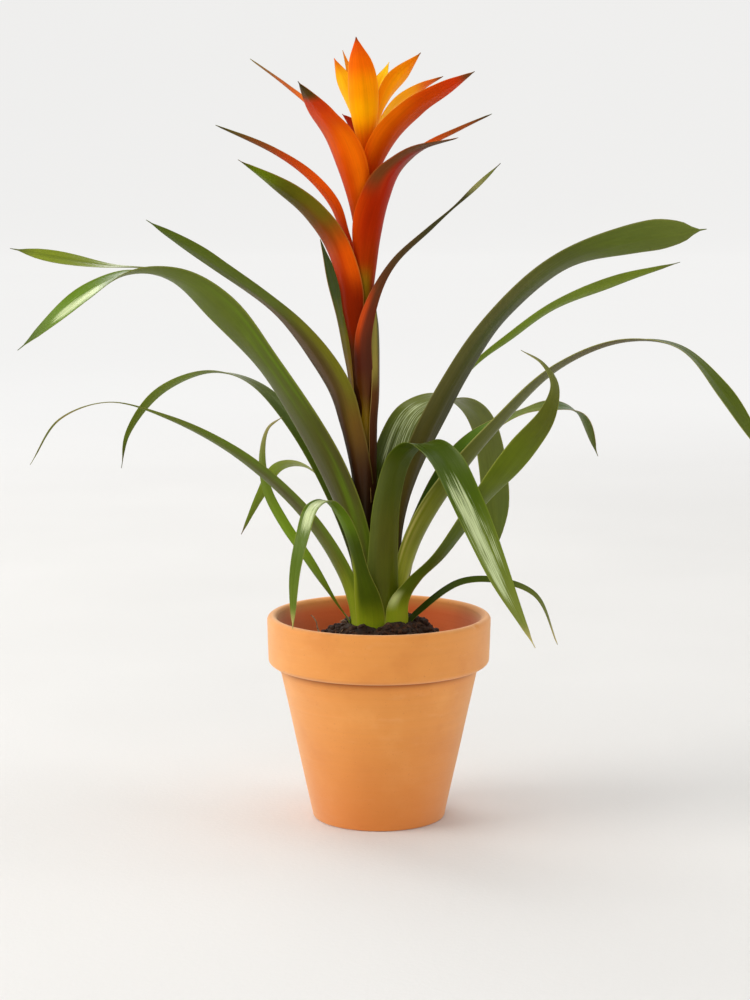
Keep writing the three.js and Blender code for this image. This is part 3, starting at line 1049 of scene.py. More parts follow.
BRACTS: dict[str, Form] = {
    "bract_lower_left": Form(
        bearing=(-150, -150, -153, -160, -168, -170, -170),
        route=(
            (4.6, 250), (6.3, 268), (7.5, 287), (8.8, 302), (10.8, 318),
            (12.5, 335), (21, 362), (34, 380), (56, 397), (78, 411),
        ),
        width=(9, 14, 18, 22, 22, 20, 16, 11), blunt=0.2, curl=(20,), roll=(0, 8, 28, 35, 35, 30),
    ),
    "bract_front_right_dark": Form(
        bearing=(-88, -86, -74, -52, -44, -40),
        route=((4.1, 304), (4.6, 326), (6.8, 345), (10, 366), (14.5, 385), (23, 403), (41, 416), (72, 424)),
        width=(9, 12, 19, 26, 26, 20, 14, 1.3), curl=(18,), roll=(0, 0),
    ),
    "bract_left_narrow": Form(
        bearing=(165, 165),
        route=((3.0, 338), (9, 356), (13.5, 367), (20, 384), (35, 401), (58, 416), (96, 432)),
        width=(11, 9.5, 9.5, 8, 6, 4.5, 1.3), curl=(14,), roll=(0, 50, 60, 50, 40),
    ),
    "bract_front_left_broad": Form(
        bearing=(-112, -130, -135),
        route=((3.2, 350), (6.6, 368), (10, 384), (16.5, 404), (25, 423), (40, 440), (56, 457)),
        width=(13, 16, 23, 29, 27, 20, 15), blunt=0.2, curl=(18,), roll=(0, 0),
    ),
    "bract_right_narrow": Form(
        bearing=(25, 25), route=((3.0, 360), (6, 378), (13, 396), (37, 417), (65, 430), (87, 439)),
        width=(12, 9, 6.5, 5, 3.5, 1.2), curl=(14,), roll=(0, -30, -60, -50),
    ),
    "bract_back_left_narrow": Form(
        bearing=(150, 150),
        route=((2.9, 370), (7, 393), (14, 414), (37, 442), (56, 456), (83, 473)),
        width=(12, 10, 8, 5, 2.6, 1.0), curl=(14,), roll=(0, 30, 65, 60),
    ),
    "bract_right_broad": Form(
        bearing=(-60, -40, -25),
        route=((3.0, 384), (7, 400), (13, 414), (22, 428), (37, 442), (53, 452), (72, 463)),
        width=(9, 16, 22, 22, 18, 12, 1.3), curl=(18,), roll=(0, -5, -15, -25, -30),
    ),
    "bract_inner_left": Form(
        bearing=(165, 165), route=((2.9, 390), (6.5, 414), (8.5, 432), (14.5, 438.5)),
        width=(12, 12, 13, 12, 8), blunt=0.3, curl=(16,), roll=(10, 56, 62),
    ),
    "bract_back_right_narrow": Form(
        bearing=(45, 35),
        route=((2.8, 394), (6.5, 415), (11.5, 431), (22, 443), (42, 454.5), (59, 462)),
        width=(12, 12, 12, 11, 8, 1.3), curl=(16,), roll=(0, -30, -60, -50),
    ),
    "bract_top_front": Form(
        bearing=(-85, -95, -111), route=((3.4, 408), (7.2, 425), (9.8, 440), (12, 462), (15, 484)),
        width=(6, 12, 20, 22, 16, 1.3), curl=(20,), roll=(0, 0),
    ),
    "bract_upper_right": Form(
        bearing=(6, -8), route=((2.4, 410), (6.5, 428), (11, 443), (19, 458), (34, 475)),
        width=(9, 12, 17, 17, 12), blunt=0.34, curl=(18,), roll=(0, -5, -25, -38, -38),
    ),
    "bract_top_left": Form(
        bearing=(172, 172), route=((2.3, 416), (6, 433), (12, 455), (19, 472)),
        width=(9, 12, 15, 14, 10), curl=(18,), roll=(0, 50, 72), blunt=0.36,
    ),
    "bract_top_back": Form(
        bearing=(125, 140), route=((2.0, 421), (6, 440), (11, 458), (18, 477)),
        width=(7, 8, 9, 8, 6), blunt=0.4, curl=(18,), roll=(0, 0),
    ),
    "bract_top_right": Form(
        bearing=(45, 40), route=((2.0, 420), (6, 440), (12, 456), (19, 470)),
        width=(7, 10, 13, 12, 7), blunt=0.4, curl=(18,), roll=(0, 24, 34),
    ),
}


# ---------------------------------------------------------------- colours of the blades

# pale of the painted highlights on the leaves
HIGHLIGHT_PALE = (216, 224, 192)

GOLDEN = {
    "bract_top_front", "bract_upper_right", "bract_top_left", "bract_top_back", "bract_top_right",
    "bract_back_right_narrow",
}

LEAF_TOP = (
    (0.0, (150, 164, 50)), (0.12, (100, 120, 30)), (0.45, (66, 86, 16)), (0.8, (76, 106, 18)),
    (1.0, (86, 116, 28)),
)
LEAF_UNDER = (
    (0.0, (150, 168, 70)), (0.12, (104, 122, 44)), (0.45, (76, 92, 36)), (0.8, (84, 110, 34)),
    (1.0, (96, 122, 44)),
)
RED_FOOT = (96, 30, 14)

TINTS: dict[str, Tint] = {
    "leaf_left_broad": Tint(
        (*LEAF_TOP[:3], (0.78, (84, 118, 34)), (0.9, (96, 140, 30)), (1.0, (70, 96, 30))),
        ((0.0, (150, 160, 70)), (0.1, (98, 110, 38)), (0.3, (74, 80, 34)), (0.5, (82, 100, 36)),
         (0.7, (94, 118, 48)), (0.82, (104, 124, 64)), (1.0, (110, 138, 50))),
        patches=(
            Patch((70, 62, 38), (0.05, 0.46), (-2, -0.15), 0.55, streaky=True),
            Patch((96, 140, 16), (0.12, 0.62), (0.2, 2), 0.65, Face.UNDER, fade=0.1, streaky=True),
        ),
        painted_highlight=(Patch(HIGHLIGHT_PALE, (0.82, 0.93), (-0.2, 0.8), 1.0, Face.UPPER, fade=0.03),),
    ),
    "leaf_left_upper": Tint(
        (*LEAF_TOP[:3], (0.72, (84, 104, 40)), (0.8, (116, 142, 46)), (0.95, (122, 148, 52)),
         (1.0, (70, 84, 40))),
        (*LEAF_UNDER[:3], (0.72, (84, 96, 48)), (0.8, (116, 142, 46)), (0.95, (122, 148, 52)),
         (1.0, (70, 84, 40))),
        patches=(Patch((80, 104, 30), (0.8, 0.97), (-0.2, 0.2), 0.5),),
    ),
    "leaf_left_hooked": Tint(
        ((0.0, (130, 150, 60)), (0.15, (86, 110, 40)), (0.5, (70, 96, 34)), (0.62, (88, 106, 48)),
         (0.75, (100, 128, 40)), (0.93, (92, 118, 38)), (1.0, (70, 70, 50))),
        ((0.0, (130, 150, 60)), (0.15, (92, 112, 46)), (0.5, (80, 102, 46)), (0.62, (92, 110, 52)),
         (0.75, (104, 134, 42)), (0.93, (92, 120, 38)), (1.0, (70, 70, 50))),
    ),
    "leaf_left_long": Tint(
        LEAF_TOP,
        ((0.0, (150, 176, 60)), (0.1, (134, 164, 48)), (0.2, (92, 108, 38)), (0.35, (80, 86, 52)),
         (0.55, (88, 110, 36)), (0.72, (98, 120, 48)), (0.8, (140, 144, 104)), (0.88, (150, 150, 112)),
         (0.92, (108, 124, 70)), (1.0, (110, 112, 80))),
        patches=(
            Patch((92, 126, 34), (0.1, 0.6), (0.45, 2), 0.7),
            Patch((92, 122, 40), (0.2, 0.6), (-2, -0.6), 0.6),
        ),
    ),
    "leaf_left_curled": Tint(
        ((0.0, (120, 150, 50)), (0.2, (88, 118, 26)), (0.5, (106, 146, 26)), (0.75, (98, 128, 44)),
         (1.0, (150, 150, 118))),
        edge=0.3,
    ),
    "leaf_back_left_small": Tint(
        ((0.0, (120, 150, 50)), (0.2, (110, 132, 56)), (0.45, (150, 164, 116)), (0.6, (126, 148, 72)),
         (0.75, (116, 150, 40)), (0.94, (96, 126, 34)), (1.0, (110, 100, 80))),
    ),
    "leaf_front_left_folded": Tint(
        (*LEAF_TOP[:2], (0.5, (84, 122, 30)), (0.75, (78, 112, 26)), (0.93, (92, 122, 40)),
         (1.0, (196, 200, 150))),
        ((0.0, (170, 194, 56)), (0.07, (132, 164, 32)), (0.18, (66, 92, 12)), (0.34, (58, 84, 12)),
         (0.45, (90, 130, 28)), (0.7, (86, 116, 34)), (1.0, (190, 196, 150))),
        edge=0.6, patches=(Patch((150, 180, 50), (0.02, 0.3), (-2, -0.72), 0.75),),
        painted_highlight=(Patch(HIGHLIGHT_PALE, (0.52, 0.72), (-0.6, 0.9), 1.0, Face.UPPER, fade=0.06),),
    ),
    "leaf_front_folded": Tint(
        (*LEAF_TOP[:3], (0.52, (62, 90, 4)), (0.64, (70, 100, 14)), (0.8, (108, 134, 60)),
         (0.94, (124, 146, 76)), (1.0, (206, 204, 166))),
        ((0.0, (130, 160, 40)), (0.06, (104, 132, 22)), (0.14, (88, 104, 16)), (0.24, (84, 94, 22)),
         (0.36, (72, 90, 16)), (0.46, (60, 86, 6)), (0.7, (84, 110, 32)), (1.0, (190, 190, 150))),
        margin=(140, 168, 70), edge=0.3,
        patches=(
            Patch((92, 112, 62), (0.12, 0.4), (-2, -0.5), 0.7),
            Patch((176, 196, 80), (0.0, 0.1), (-0.7, 0.5), 0.25, Face.UNDER, fade=0.04, streaky=True),
            Patch((30, 60, 10), (0.6, 0.85), (-0.25, -0.05), 0.35, Face.UPPER, fade=0.05),
        ),
        painted_highlight=(
            Patch(HIGHLIGHT_PALE, (0.6, 0.9), (-0.75, 0.3), 0.95, Face.UPPER, fade=0.07),
            Patch(HIGHLIGHT_PALE, (0.66, 0.86), (0.2, 0.8), 0.55, Face.UPPER, fade=0.07),
        ),
    ),
    "leaf_front_right": Tint(
        ((0.0, (164, 196, 60)), (0.1, (140, 174, 44)), (0.3, (76, 108, 30)), (0.55, (84, 114, 20)),
         (0.8, (84, 104, 34)), (1.0, (120, 128, 96))),
        ((0.0, (164, 196, 52)), (0.1, (140, 176, 40)), (0.17, (92, 124, 34)), (0.3, (68, 92, 28)),
         (0.45, (82, 106, 22)), (0.65, (92, 116, 18)), (0.8, (86, 100, 28)), (0.9, (104, 118, 74)),
         (1.0, (130, 136, 108))),
        margin=(170, 188, 110), edge=0.5,
        # painted highlight on the folded sheath margin at the foot
        patches=(Patch((212, 255, 210), (0.118, 0.155), (-2, -0.4), 1.0, fade=0.018),),
    ),
    "leaf_right_broad": Tint(
        (*LEAF_TOP[:3], (0.75, (92, 118, 36)), (1.0, (100, 128, 42))),
        ((0.0, (130, 120, 60)), (0.12, (90, 56, 36)), (0.24, (92, 78, 38)), (0.36, (84, 84, 40)),
         (0.46, (76, 82, 38)), (0.6, (70, 86, 38)), (0.74, (82, 100, 42)), (0.86, (94, 118, 54)),
         (1.0, (102, 124, 62))),
        margin=(150, 156, 110), edge=0.45,
        patches=(
            Patch((46, 54, 24), (0.35, 0.7), (0.45, 2), 0.6, fade=0.08),
            Patch((108, 112, 82), (0.4, 0.72), (-2, -0.35), 0.55, Face.UNDER, fade=0.08),
            Patch((84, 92, 30), (0.05, 0.3), (-0.9, -0.3), 0.5, Face.UNDER, fade=0.08, streaky=True),
        ),
    ),
    "leaf_right_narrow": Tint(
        ((0.0, (130, 150, 60)), (0.3, (112, 136, 42)), (0.6, (108, 142, 40)), (0.93, (112, 140, 46)),
         (1.0, (90, 100, 50))),
        edge=0.6,
    ),
    "leaf_right_long": Tint(
        ((0.0, (170, 186, 60)), (0.15, (140, 158, 46)), (0.4, (90, 106, 40)), (0.7, (74, 96, 30)),
         (0.82, (80, 104, 14)), (1.0, (80, 102, 16))),
        ((0.0, (162, 184, 50)), (0.12, (148, 168, 40)), (0.2, (116, 132, 32)), (0.32, (92, 108, 42)),
         (0.5, (94, 106, 68)), (0.66, (92, 90, 54)), (0.78, (82, 92, 36)), (0.88, (80, 104, 14)),
         (1.0, (80, 102, 16))),
        margin=(176, 190, 130), edge=0.75,
        # painted highlight along the left margin near the foot
        patches=(Patch((226, 228, 170), (0.08, 0.24), (-2, -0.55), 0.6, fade=0.05, streaky=True),),
    ),
    "leaf_right_low": Tint(
        ((0.0, (60, 88, 18)), (0.2, (42, 66, 8)), (0.5, (64, 88, 26)), (0.85, (104, 122, 66)),
         (1.0, (196, 194, 160))),
        edge=0.35,
    ),
    "leaf_back_right_drooping": Tint(
        ((0.0, (120, 140, 50)), (0.2, (50, 78, 18)), (0.4, (60, 92, 20)), (0.58, (88, 132, 34)),
         (0.72, (120, 142, 80)), (0.82, (78, 108, 58)), (1.0, (90, 110, 66))),
        margin=(200, 186, 166), edge=0.6,
    ),
    "leaf_back_right_arching": Tint(
        ((0.0, (110, 130, 50)), (0.2, (52, 76, 20)), (0.36, (76, 100, 34)), (0.5, (104, 124, 62)),
         (1.0, (94, 118, 46))),
        ((0.0, (120, 140, 60)), (0.2, (84, 106, 50)), (0.4, (106, 128, 76)), (0.55, (116, 134, 94)),
         (0.7, (108, 128, 82)), (1.0, (94, 120, 60))),
        painted_highlight=(
            Patch(HIGHLIGHT_PALE, (0.32, 0.5), (-0.8, 0.7), 0.7, Face.UPPER, fade=0.06),
            Patch(HIGHLIGHT_PALE, (0.46, 0.58), (-0.6, 0.9), 0.45, Face.UNDER, fade=0.05),
        ),
    ),
    "stem_leaf_left": Tint(
        ((0.0, (84, 40, 34)), (0.3, (88, 74, 34)), (0.6, (76, 100, 28)), (1.0, (80, 112, 34))),
        ((0.0, (40, 24, 16)), (0.16, (44, 24, 16)), (0.26, (58, 28, 20)), (0.36, (80, 48, 34)),
         (0.46, (94, 74, 56)), (0.58, (92, 84, 62)), (0.72, (80, 96, 40)), (1.0, (76, 102, 28))),
        margin=(140, 140, 90), edge=0.3,
        patches=(
            Patch((112, 86, 22), (0.29, 0.42), (0.15, 2), 0.75, Face.UNDER, fade=0.06),
            Patch((112, 120, 16), (0.4, 0.64), (0.4, 2), 0.9, Face.UNDER, fade=0.06),
            Patch((76, 72, 18), (0.34, 0.66), (-0.05, 0.35), 0.6, Face.UNDER, fade=0.06),
            Patch((84, 110, 20), (0.62, 0.97), (0.1, 2), 0.8, Face.UNDER, fade=0.08),
            Patch((104, 88, 84), (0.36, 0.72), (-2, -0.15), 0.8, Face.UNDER, fade=0.08),
            Patch((76, 48, 44), (0.12, 0.38), (-2, -0.1), 0.7, Face.UNDER, fade=0.06),
        ),
    ),
    "stem_leaf_right": Tint(
        ((0.0, (60, 34, 14)), (0.1, (96, 70, 12)), (0.19, (146, 122, 14)), (0.27, (98, 54, 16)),
         (0.34, (84, 26, 18)), (0.46, (110, 38, 18)), (0.56, (98, 54, 34)), (0.66, (82, 66, 44)),
         (0.78, (62, 66, 42)), (0.87, (64, 68, 46)), (0.92, (150, 160, 124)), (0.97, (120, 136, 84)),
         (1.0, (60, 60, 44))),
        margin=(170, 110, 76), edge=0.35,
        patches=(
            Patch((210, 76, 10), (0.4, 0.52), (-2, -0.3), 0.85, fade=0.05),
            Patch((74, 26, 20), (0.2, 0.46), (0.3, 2), 0.6, fade=0.06),
        ),
    ),
    "stem_leaf_back_right": Tint(
        ((0.0, (50, 24, 18)), (0.4, (78, 36, 20)), (0.55, (96, 54, 22)), (0.68, (86, 66, 24)),
         (0.8, (76, 78, 26)), (1.0, (68, 86, 22))),
        margin=(176, 156, 104), edge=0.7,
        patches=(Patch((164, 160, 92), (0.62, 1.0), (-2, -0.1), 0.8, fade=0.08),),
    ),
    "stem_leaf_back_left": Tint(
        ((0.0, (170, 120, 30)), (0.3, (186, 150, 22)), (0.45, (146, 144, 8)), (0.58, (104, 120, 2)),
         (0.72, (58, 88, 2)), (1.0, (50, 78, 10))),
        margin=(176, 156, 116), edge=0.9,
    ),
    "bract_lower_left": Tint(
        ((0.0, (58, 30, 14)), (0.22, (76, 34, 12)), (0.33, (126, 30, 4)), (0.42, (142, 34, 4)),
         (0.53, (178, 54, 18)), (0.62, (136, 62, 34)), (0.7, (106, 76, 44)), (0.8, (84, 82, 34)),
         (0.93, (104, 126, 32)), (1.0, (60, 56, 40))),
        margin=(176, 130, 90), edge=0.5,
        patches=(
            Patch((230, 94, 6), (0.45, 0.6), (0.3, 2), 0.7, fade=0.06),
            Patch((116, 26, 2), (0.3, 0.44), (-2, 2), 0.55, fade=0.06),
            Patch((186, 88, 70), (0.52, 0.6), (-0.5, 0.3), 0.6, fade=0.05, streaky=True),
            Patch((108, 112, 26), (0.64, 0.82), (0.2, 2), 0.5, fade=0.08),
        ),
    ),
    "bract_front_right_dark": Tint(
        ((0.0, (66, 24, 10)), (0.14, (96, 36, 10)), (0.26, (160, 50, 6)), (0.45, (166, 38, 4)),
         (0.62, (166, 34, 6)), (0.76, (142, 36, 22)), (0.86, (84, 50, 38)), (1.0, (70, 60, 48))),
        margin=(206, 96, 40), edge=0.35,
        patches=(
            Patch((138, 112, 30), (0.12, 0.25), (-0.6, 0.3), 0.8, fade=0.05),
            Patch((216, 76, 4), (0.34, 0.56), (-2, -0.62), 0.5, fade=0.08),
            Patch((108, 70, 56), (0.58, 0.95), (-2, -0.3), 0.85, fade=0.06),
            Patch((196, 64, 50), (0.56, 0.7), (-0.3, 0.2), 0.5, fade=0.06, streaky=True),
            Patch((104, 84, 62), (0.66, 0.95), (0.6, 2), 0.6, fade=0.06),
        ),
    ),
    "bract_left_narrow": Tint(
        ((0.0, RED_FOOT), (0.16, (200, 60, 12)), (0.45, (230, 86, 24)), (0.62, (200, 74, 40)),
         (0.78, (130, 72, 54)), (0.92, (84, 74, 54)), (1.0, (60, 58, 50))),
        edge=0.3,
    ),
    "bract_front_left_broad": Tint(
        ((0.0, (120, 54, 16)), (0.1, (140, 70, 16)), (0.22, (168, 58, 2)), (0.4, (198, 68, 2)),
         (0.62, (228, 92, 6)), (0.76, (214, 70, 10)), (0.86, (190, 54, 20)), (0.91, (80, 58, 34)),
         (1.0, (52, 50, 38))),
        margin=(240, 130, 44), edge=0.35,
        patches=(
            Patch((176, 54, 6), (0.1, 0.8), (-2, -0.5), 0.6, fade=0.1),
            Patch((200, 72, 8), (0.3, 0.75), (-0.35, 0.05), 0.45, fade=0.1, streaky=True),
            Patch((246, 122, 8), (0.3, 0.7), (0.3, 0.85), 0.65, fade=0.1),
            Patch((156, 122, 36), (0.05, 0.15), (-0.5, 0.5), 0.75, fade=0.05),
        ),
    ),
    "bract_right_narrow": Tint(
        ((0.0, RED_FOOT), (0.3, (206, 70, 20)), (0.6, (228, 88, 38)), (0.78, (168, 80, 50)),
         (1.0, (66, 60, 52))),
        edge=0.3,
    ),
    "bract_back_left_narrow": Tint(
        ((0.0, RED_FOOT), (0.3, (222, 96, 24)), (0.62, (230, 112, 50)), (0.78, (186, 96, 74)),
         (0.9, (140, 100, 92)), (1.0, (120, 112, 104))),
        edge=0.3,
    ),
    "bract_right_broad": Tint(
        ((0.0, (150, 50, 6)), (0.2, (200, 76, 4)), (0.5, (212, 84, 5)), (0.72, (208, 70, 10)),
         (0.88, (210, 58, 26)), (0.96, (110, 66, 52)), (1.0, (74, 66, 56))),
        margin=(246, 140, 44), edge=0.4,
        patches=(
            Patch((244, 120, 6), (0.2, 0.62), (-2, -0.4), 0.65, fade=0.1),
            Patch((186, 56, 4), (0.15, 0.75), (0.5, 2), 0.5, fade=0.1),
        ),
    ),
    "bract_inner_left": Tint(((0.0, RED_FOOT), (0.5, (150, 36, 14)), (1.0, (150, 36, 18)))),
    "bract_back_right_narrow": Tint(
        ((0.0, (120, 44, 20)), (0.1, (206, 100, 12)), (0.22, (246, 164, 10)), (0.4, (255, 200, 30)),
         (0.7, (255, 176, 44)), (0.88, (232, 104, 56)), (1.0, (100, 60, 40))),
        margin=(252, 196, 80),
    ),
    "bract_top_front": Tint(
        ((0.0, (160, 70, 10)), (0.18, (216, 116, 6)), (0.4, (253, 188, 8)), (0.6, (250, 158, 4)),
         (0.8, (238, 108, 8)), (0.95, (224, 84, 20)), (1.0, (80, 44, 26))),
        margin=(252, 190, 70), edge=0.5,
        patches=(Patch((255, 200, 30), (0.3, 0.55), (-0.1, 0.6), 0.5, fade=0.1, streaky=True),),
    ),
    "bract_upper_right": Tint(
        ((0.0, (230, 130, 8)), (0.35, (255, 184, 12)), (0.7, (255, 176, 22)), (0.93, (244, 140, 24)),
         (1.0, (120, 70, 24))),
        margin=(252, 184, 70), edge=0.4,
        patches=(Patch((236, 116, 8), (0.2, 0.8), (-2, -0.5), 0.6, fade=0.1),),
    ),
    "bract_top_left": Tint(
        ((0.0, (240, 160, 10)), (0.4, (255, 204, 40)), (0.75, (255, 194, 40)), (1.0, (226, 110, 36))),
        margin=(238, 140, 40), edge=0.6,
    ),
    "bract_top_back": Tint(
        ((0.0, (140, 54, 20)), (0.14, (236, 150, 20)), (0.5, (244, 176, 56)), (1.0, (236, 140, 54))),
    ),
    "bract_top_right": Tint(
        ((0.0, (190, 96, 22)), (0.12, (250, 190, 20)), (0.5, (255, 222, 48)), (1.0, (255, 214, 66))),
    ),
}


# ---------------------------------------------------------------- the pot


@dataclass(frozen=True)
class Clay:
    """Fired clay: a smooth warm skin with faint turning lines, clouds and specks, with painted shade in the
    crease under the band, on the inner wall and towards the foot.
    """

    name: str = "fired_clay"
    body: tuple[Stop, ...] = ((0.28, (222, 138, 54)), (0.5, (229, 147, 62)), (0.72, (235, 156, 74)))
    clouds: Pattern = Pattern(26.0, 4.0)
    rings: Pattern = Pattern(roughness=0.6, stretch=(6.0, 6.0, 420.0))
    ring_tone: float = 0.07  # how far the turning lines lighten and darken
    ring_depth: float = 0.00022
    grain: Pattern = Pattern(2600.0, 2.0, 0.6)
    grain_depth: float = 0.00007
    smears: Pattern = Pattern(detail=4.0, roughness=0.62, stretch=(60.0, 60.0, 190.0))
    dust: Fleck = Fleck(smears, (246, 190, 140), (0.56, 0.8), 0.12)
    specks: Fleck = Fleck(Pattern(900.0, 1.0, 0.5), (178, 92, 44), (0.70, 0.78), 0.4)
    low: Colour = (212, 112, 18)  # towards the foot: painted deeper, warmer shade for light bounced up from below
    low_shade_top: float = 0.085  # in metres
    low_shade_share: float = 0.6
    crease_shadow: Colour = (166, 84, 18)  # painted shadow in the crease under the band
    # the inner wall's darker orange: partly damp clay, partly painted shade
    inside: Colour = (224, 92, 6)
    roughness: float = 0.8
    unevenness: float = 0.12
    sheen: Colour = (255, 232, 204)

    def paint(self) -> bpy.types.Material:
        """Builds the material."""
        p = Paint(self.name)
        place = p.place()
        patterns = (self.rings, self.clouds, self.grain, self.smears, self.specks.pattern)
        turned, cloud, grain, smear, speck = (p.noise(place, pattern) for pattern in patterns)
        dusted = p.fleck(p.ramp(cloud, self.body), smear, self.dust)
        dotted = p.fleck(p.shade(dusted, p.waver(turned, self.ring_tone)), speck, self.specks)
        # painted shade: the clay turns deeper orange towards the foot, for light bounced up from below
        low = p.step(p.height(place), 0.0, self.low_shade_top, self.low_shade_share, 0.0)
        lower = p.mix(low, dotted, linear(self.low))
        # painted shadow: darker clay in the crease under the band
        crease_shaded = p.mix(p.attribute("crease_shadow"), lower, linear(self.crease_shadow))
        return p.finish(
            # inner wall: partly damp clay, partly painted shade
            p.mix(p.attribute("inside"), crease_shaded, linear(self.inside)),
            p.waver(cloud, self.unevenness, self.roughness),
            p.bump(grain, self.grain_depth, p.bump(turned, self.ring_depth)),
            Specular_IOR_Level=0.5,
            Sheen_Weight=0.6,
            Sheen_Roughness=0.55,
            Sheen_Tint=linear(self.sheen),
        )


@dataclass
class Pot:
    """The clay pot: a tapered cup with a thick rim band and a drain hole.

    Each of its chips at the lip is a (bearing in degrees, size, depth) entry.
    """

    height: float = 129
    rim_radius: float = 70
    lip_radius: float = 64
    band_bottom: float = 98
    band_taper: float = 0.8
    band_corner: float = 3.5
    lip_round: float = 3
    body_radius: float = 62.6
    foot_radius: float = 41.8
    foot_round: float = 1.6
    crease_in: float = 0.25  # the wall is drawn in by this just below the band
    crease_below: float = 1.2
    floor: float = 7
    floor_radius: float = 37.6
    drain_radius: float = 8
    sides: int = 224
    pitch: float = 2.2  # most between two points of the outline
    damp_and_shade: float = 0.95  # how strongly the inside takes its darker colour: partly damp clay, partly painted shade
    crease_shadow: float = 0.9  # how plainly the painted shadow in the crease under the band shows
    crease_shadow_drop: float = 0.8  # the painted shadow's darkest line lies this far below the band
    crease_shadow_height: float = 2.2
    crease_shadow_radius: float = 67  # it stays on the wall, inside this radius
    sway: float = 0.30  # how uneven the wall is, in long waves
    sway_height: float = 45
    grain: float = 0.06  # the same in short waves
    grain_height: float = 2.6
    flat_foot: Pair = (0.5, 8)  # heights where the unevenness begins and is full
    chip_share: float = 0.7  # how far a chip goes in and down, over its depth
    chips: tuple[Triple, ...] = ((-97, 2.6, 1.0), (-64, 1.8, 0.7), (-31, 3.0, 1.1), (140, 2.4, 0.9))

    def arc(self, centre: Pair, radius: float, start: float, end: float, steps: int) -> list[Pair]:
        """Outline points of a round from one angle to another.

        Args:
            centre: (radius, height) of its middle.
            radius: its own radius.
            start: first angle in degrees, 0 pointing out.
            end: last angle.
            steps: how many lines it has.

        Returns:
            The points, both ends among them.
        """
        angles = [math.radians(lerp(start, end, i / steps)) for i in range(steps + 1)]
        return [(centre[0] + radius * math.cos(a), centre[1] + radius * math.sin(a)) for a in angles]

    def outline(self) -> list[Pair]:
        """The wall's outline from the drain hole out under the foot, up the outside and down inside."""
        band_foot = self.rim_radius - self.band_taper
        lip = self.height - self.lip_round
        corners = [(self.drain_radius, 0.0)]
        foot = (self.foot_radius - self.foot_round, self.foot_round)
        corners += self.arc(foot, self.foot_round, -90, 0, 6)
        corners.append((self.body_radius - self.crease_in, self.band_bottom - self.crease_below))
        corners.append((self.body_radius, self.band_bottom))
        under = (band_foot - self.band_corner, self.band_bottom + self.band_corner)
        corners += self.arc(under, self.band_corner, -82, 0, 8)
        corners += self.arc((self.rim_radius - self.lip_round, lip), self.lip_round, 0, 90, 8)
        corners += self.arc((self.lip_radius + self.lip_round, lip), self.lip_round, 90, 180, 8)[1:]
        corners += [(self.floor_radius, self.floor), (self.drain_radius, self.floor)]
        gaps = [math.dist(here, there) for here, there in zip(corners, corners[1:])]
        return divided(corners, gaps, self.pitch)

    def build(self) -> bpy.types.Object:
        """Turns the outline into the pot, a little uneven and chipped at the lip as a fired one is."""
        outline = self.outline()
        shape = Shape(values={"inside": [], "crease_shadow": []})
        shaded = self.height - self.lip_round
        for number, (radius, height) in enumerate(outline):
            inner = number > len(outline) * 0.5 and radius < self.lip_radius + self.lip_round
            # painted shadow in the crease under the band, darkest just below it
            near = math.exp(-(((height - self.band_bottom + self.crease_shadow_drop) / self.crease_shadow_height) ** 2))
            crease_shadow = self.crease_shadow * near if radius < self.crease_shadow_radius and not inner else 0.0
            # the inner wall below the lip takes the darker colour: partly damp clay, partly painted shade
            damp_and_shade = self.damp_and_shade * smoothstep(shaded - height, -3, 6) if inner else 0.0
            for angle in turns(self.sides):
                out, up = self.worn(radius, height, angle)
                shape.corners.append(Vector((out * math.cos(angle), out * math.sin(angle), up)))
            shape.values["inside"] += [damp_and_shade] * self.sides
            shape.values["crease_shadow"] += [crease_shadow] * self.sides
        shape.wrap(0, len(outline), self.sides, joined=True)
        return shape.place("clay_pot", Slot.TERRACOTTA, Clay().paint(), "pot")

    def worn(self, radius: float, height: float, angle: float) -> Pair:
        """An outline point moved by the slight unevenness of the clay and by the chips.

        Args:
            radius: its listed radius.
            height: its listed height.
            angle: where it is round the pot, in radians.

        Returns:
            Its radius and height there.
        """
        x, y = math.cos(angle) * 1.6, math.sin(angle) * 1.6
        sway = self.sway * ruffle(x, y, height / self.sway_height)
        sway += self.grain * ruffle(x * 5, y * 5, height / self.grain_height)
        radius += sway * smoothstep(height, *self.flat_foot)
        for bearing, size, depth in self.chips:
            aside = math.radians(bearing) - angle
            aside = (aside + math.pi) % (2 * math.pi) - math.pi
            far = math.hypot(aside * radius, height - self.height, radius - self.rim_radius) / size
            bite = self.chip_share * depth * (1 - smoothstep(far, 0.2, 1.0))
            radius -= bite
            height -= bite
        return radius, height


# ---------------------------------------------------------------- the soil


@dataclass(frozen=True)
class Earth:
    """Moist peaty soil, nearly black, with browner crumbs and shreds."""

    name: str = "peaty_soil"
    body: tuple[Stop, ...] = (
        (0.25, (22, 13, 8)),
        (0.5, (50, 30, 17)),
        (0.68, (88, 56, 32)),
        (0.85, (122, 82, 50)),
    )
    crumbs: Pattern = Pattern(240.0, 4.0, 0.65)
    crumb_depth: float = 0.001
    shreds: Fleck = Fleck(Pattern(900.0, 3.0, 0.7), (110, 82, 58), (0.62, 0.72), 0.6)
    shred_depth: float = 0.0005
    roughness: float = 0.81
    unevenness: float = 0.3

    def paint(self) -> bpy.types.Material:
        """Builds the material."""
        p = Paint(self.name)
        place = p.place()
        crumb, shred = p.noise(place, self.crumbs), p.noise(place, self.shreds.pattern)
        colour = p.fleck(p.ramp(crumb, self.body), shred, self.shreds)
        rough = p.waver(crumb, self.unevenness, self.roughness)
        normal = p.bump(shred, self.shred_depth, p.bump(crumb, self.crumb_depth))
        return p.finish(colour, rough, normal, Specular_IOR_Level=0.35)


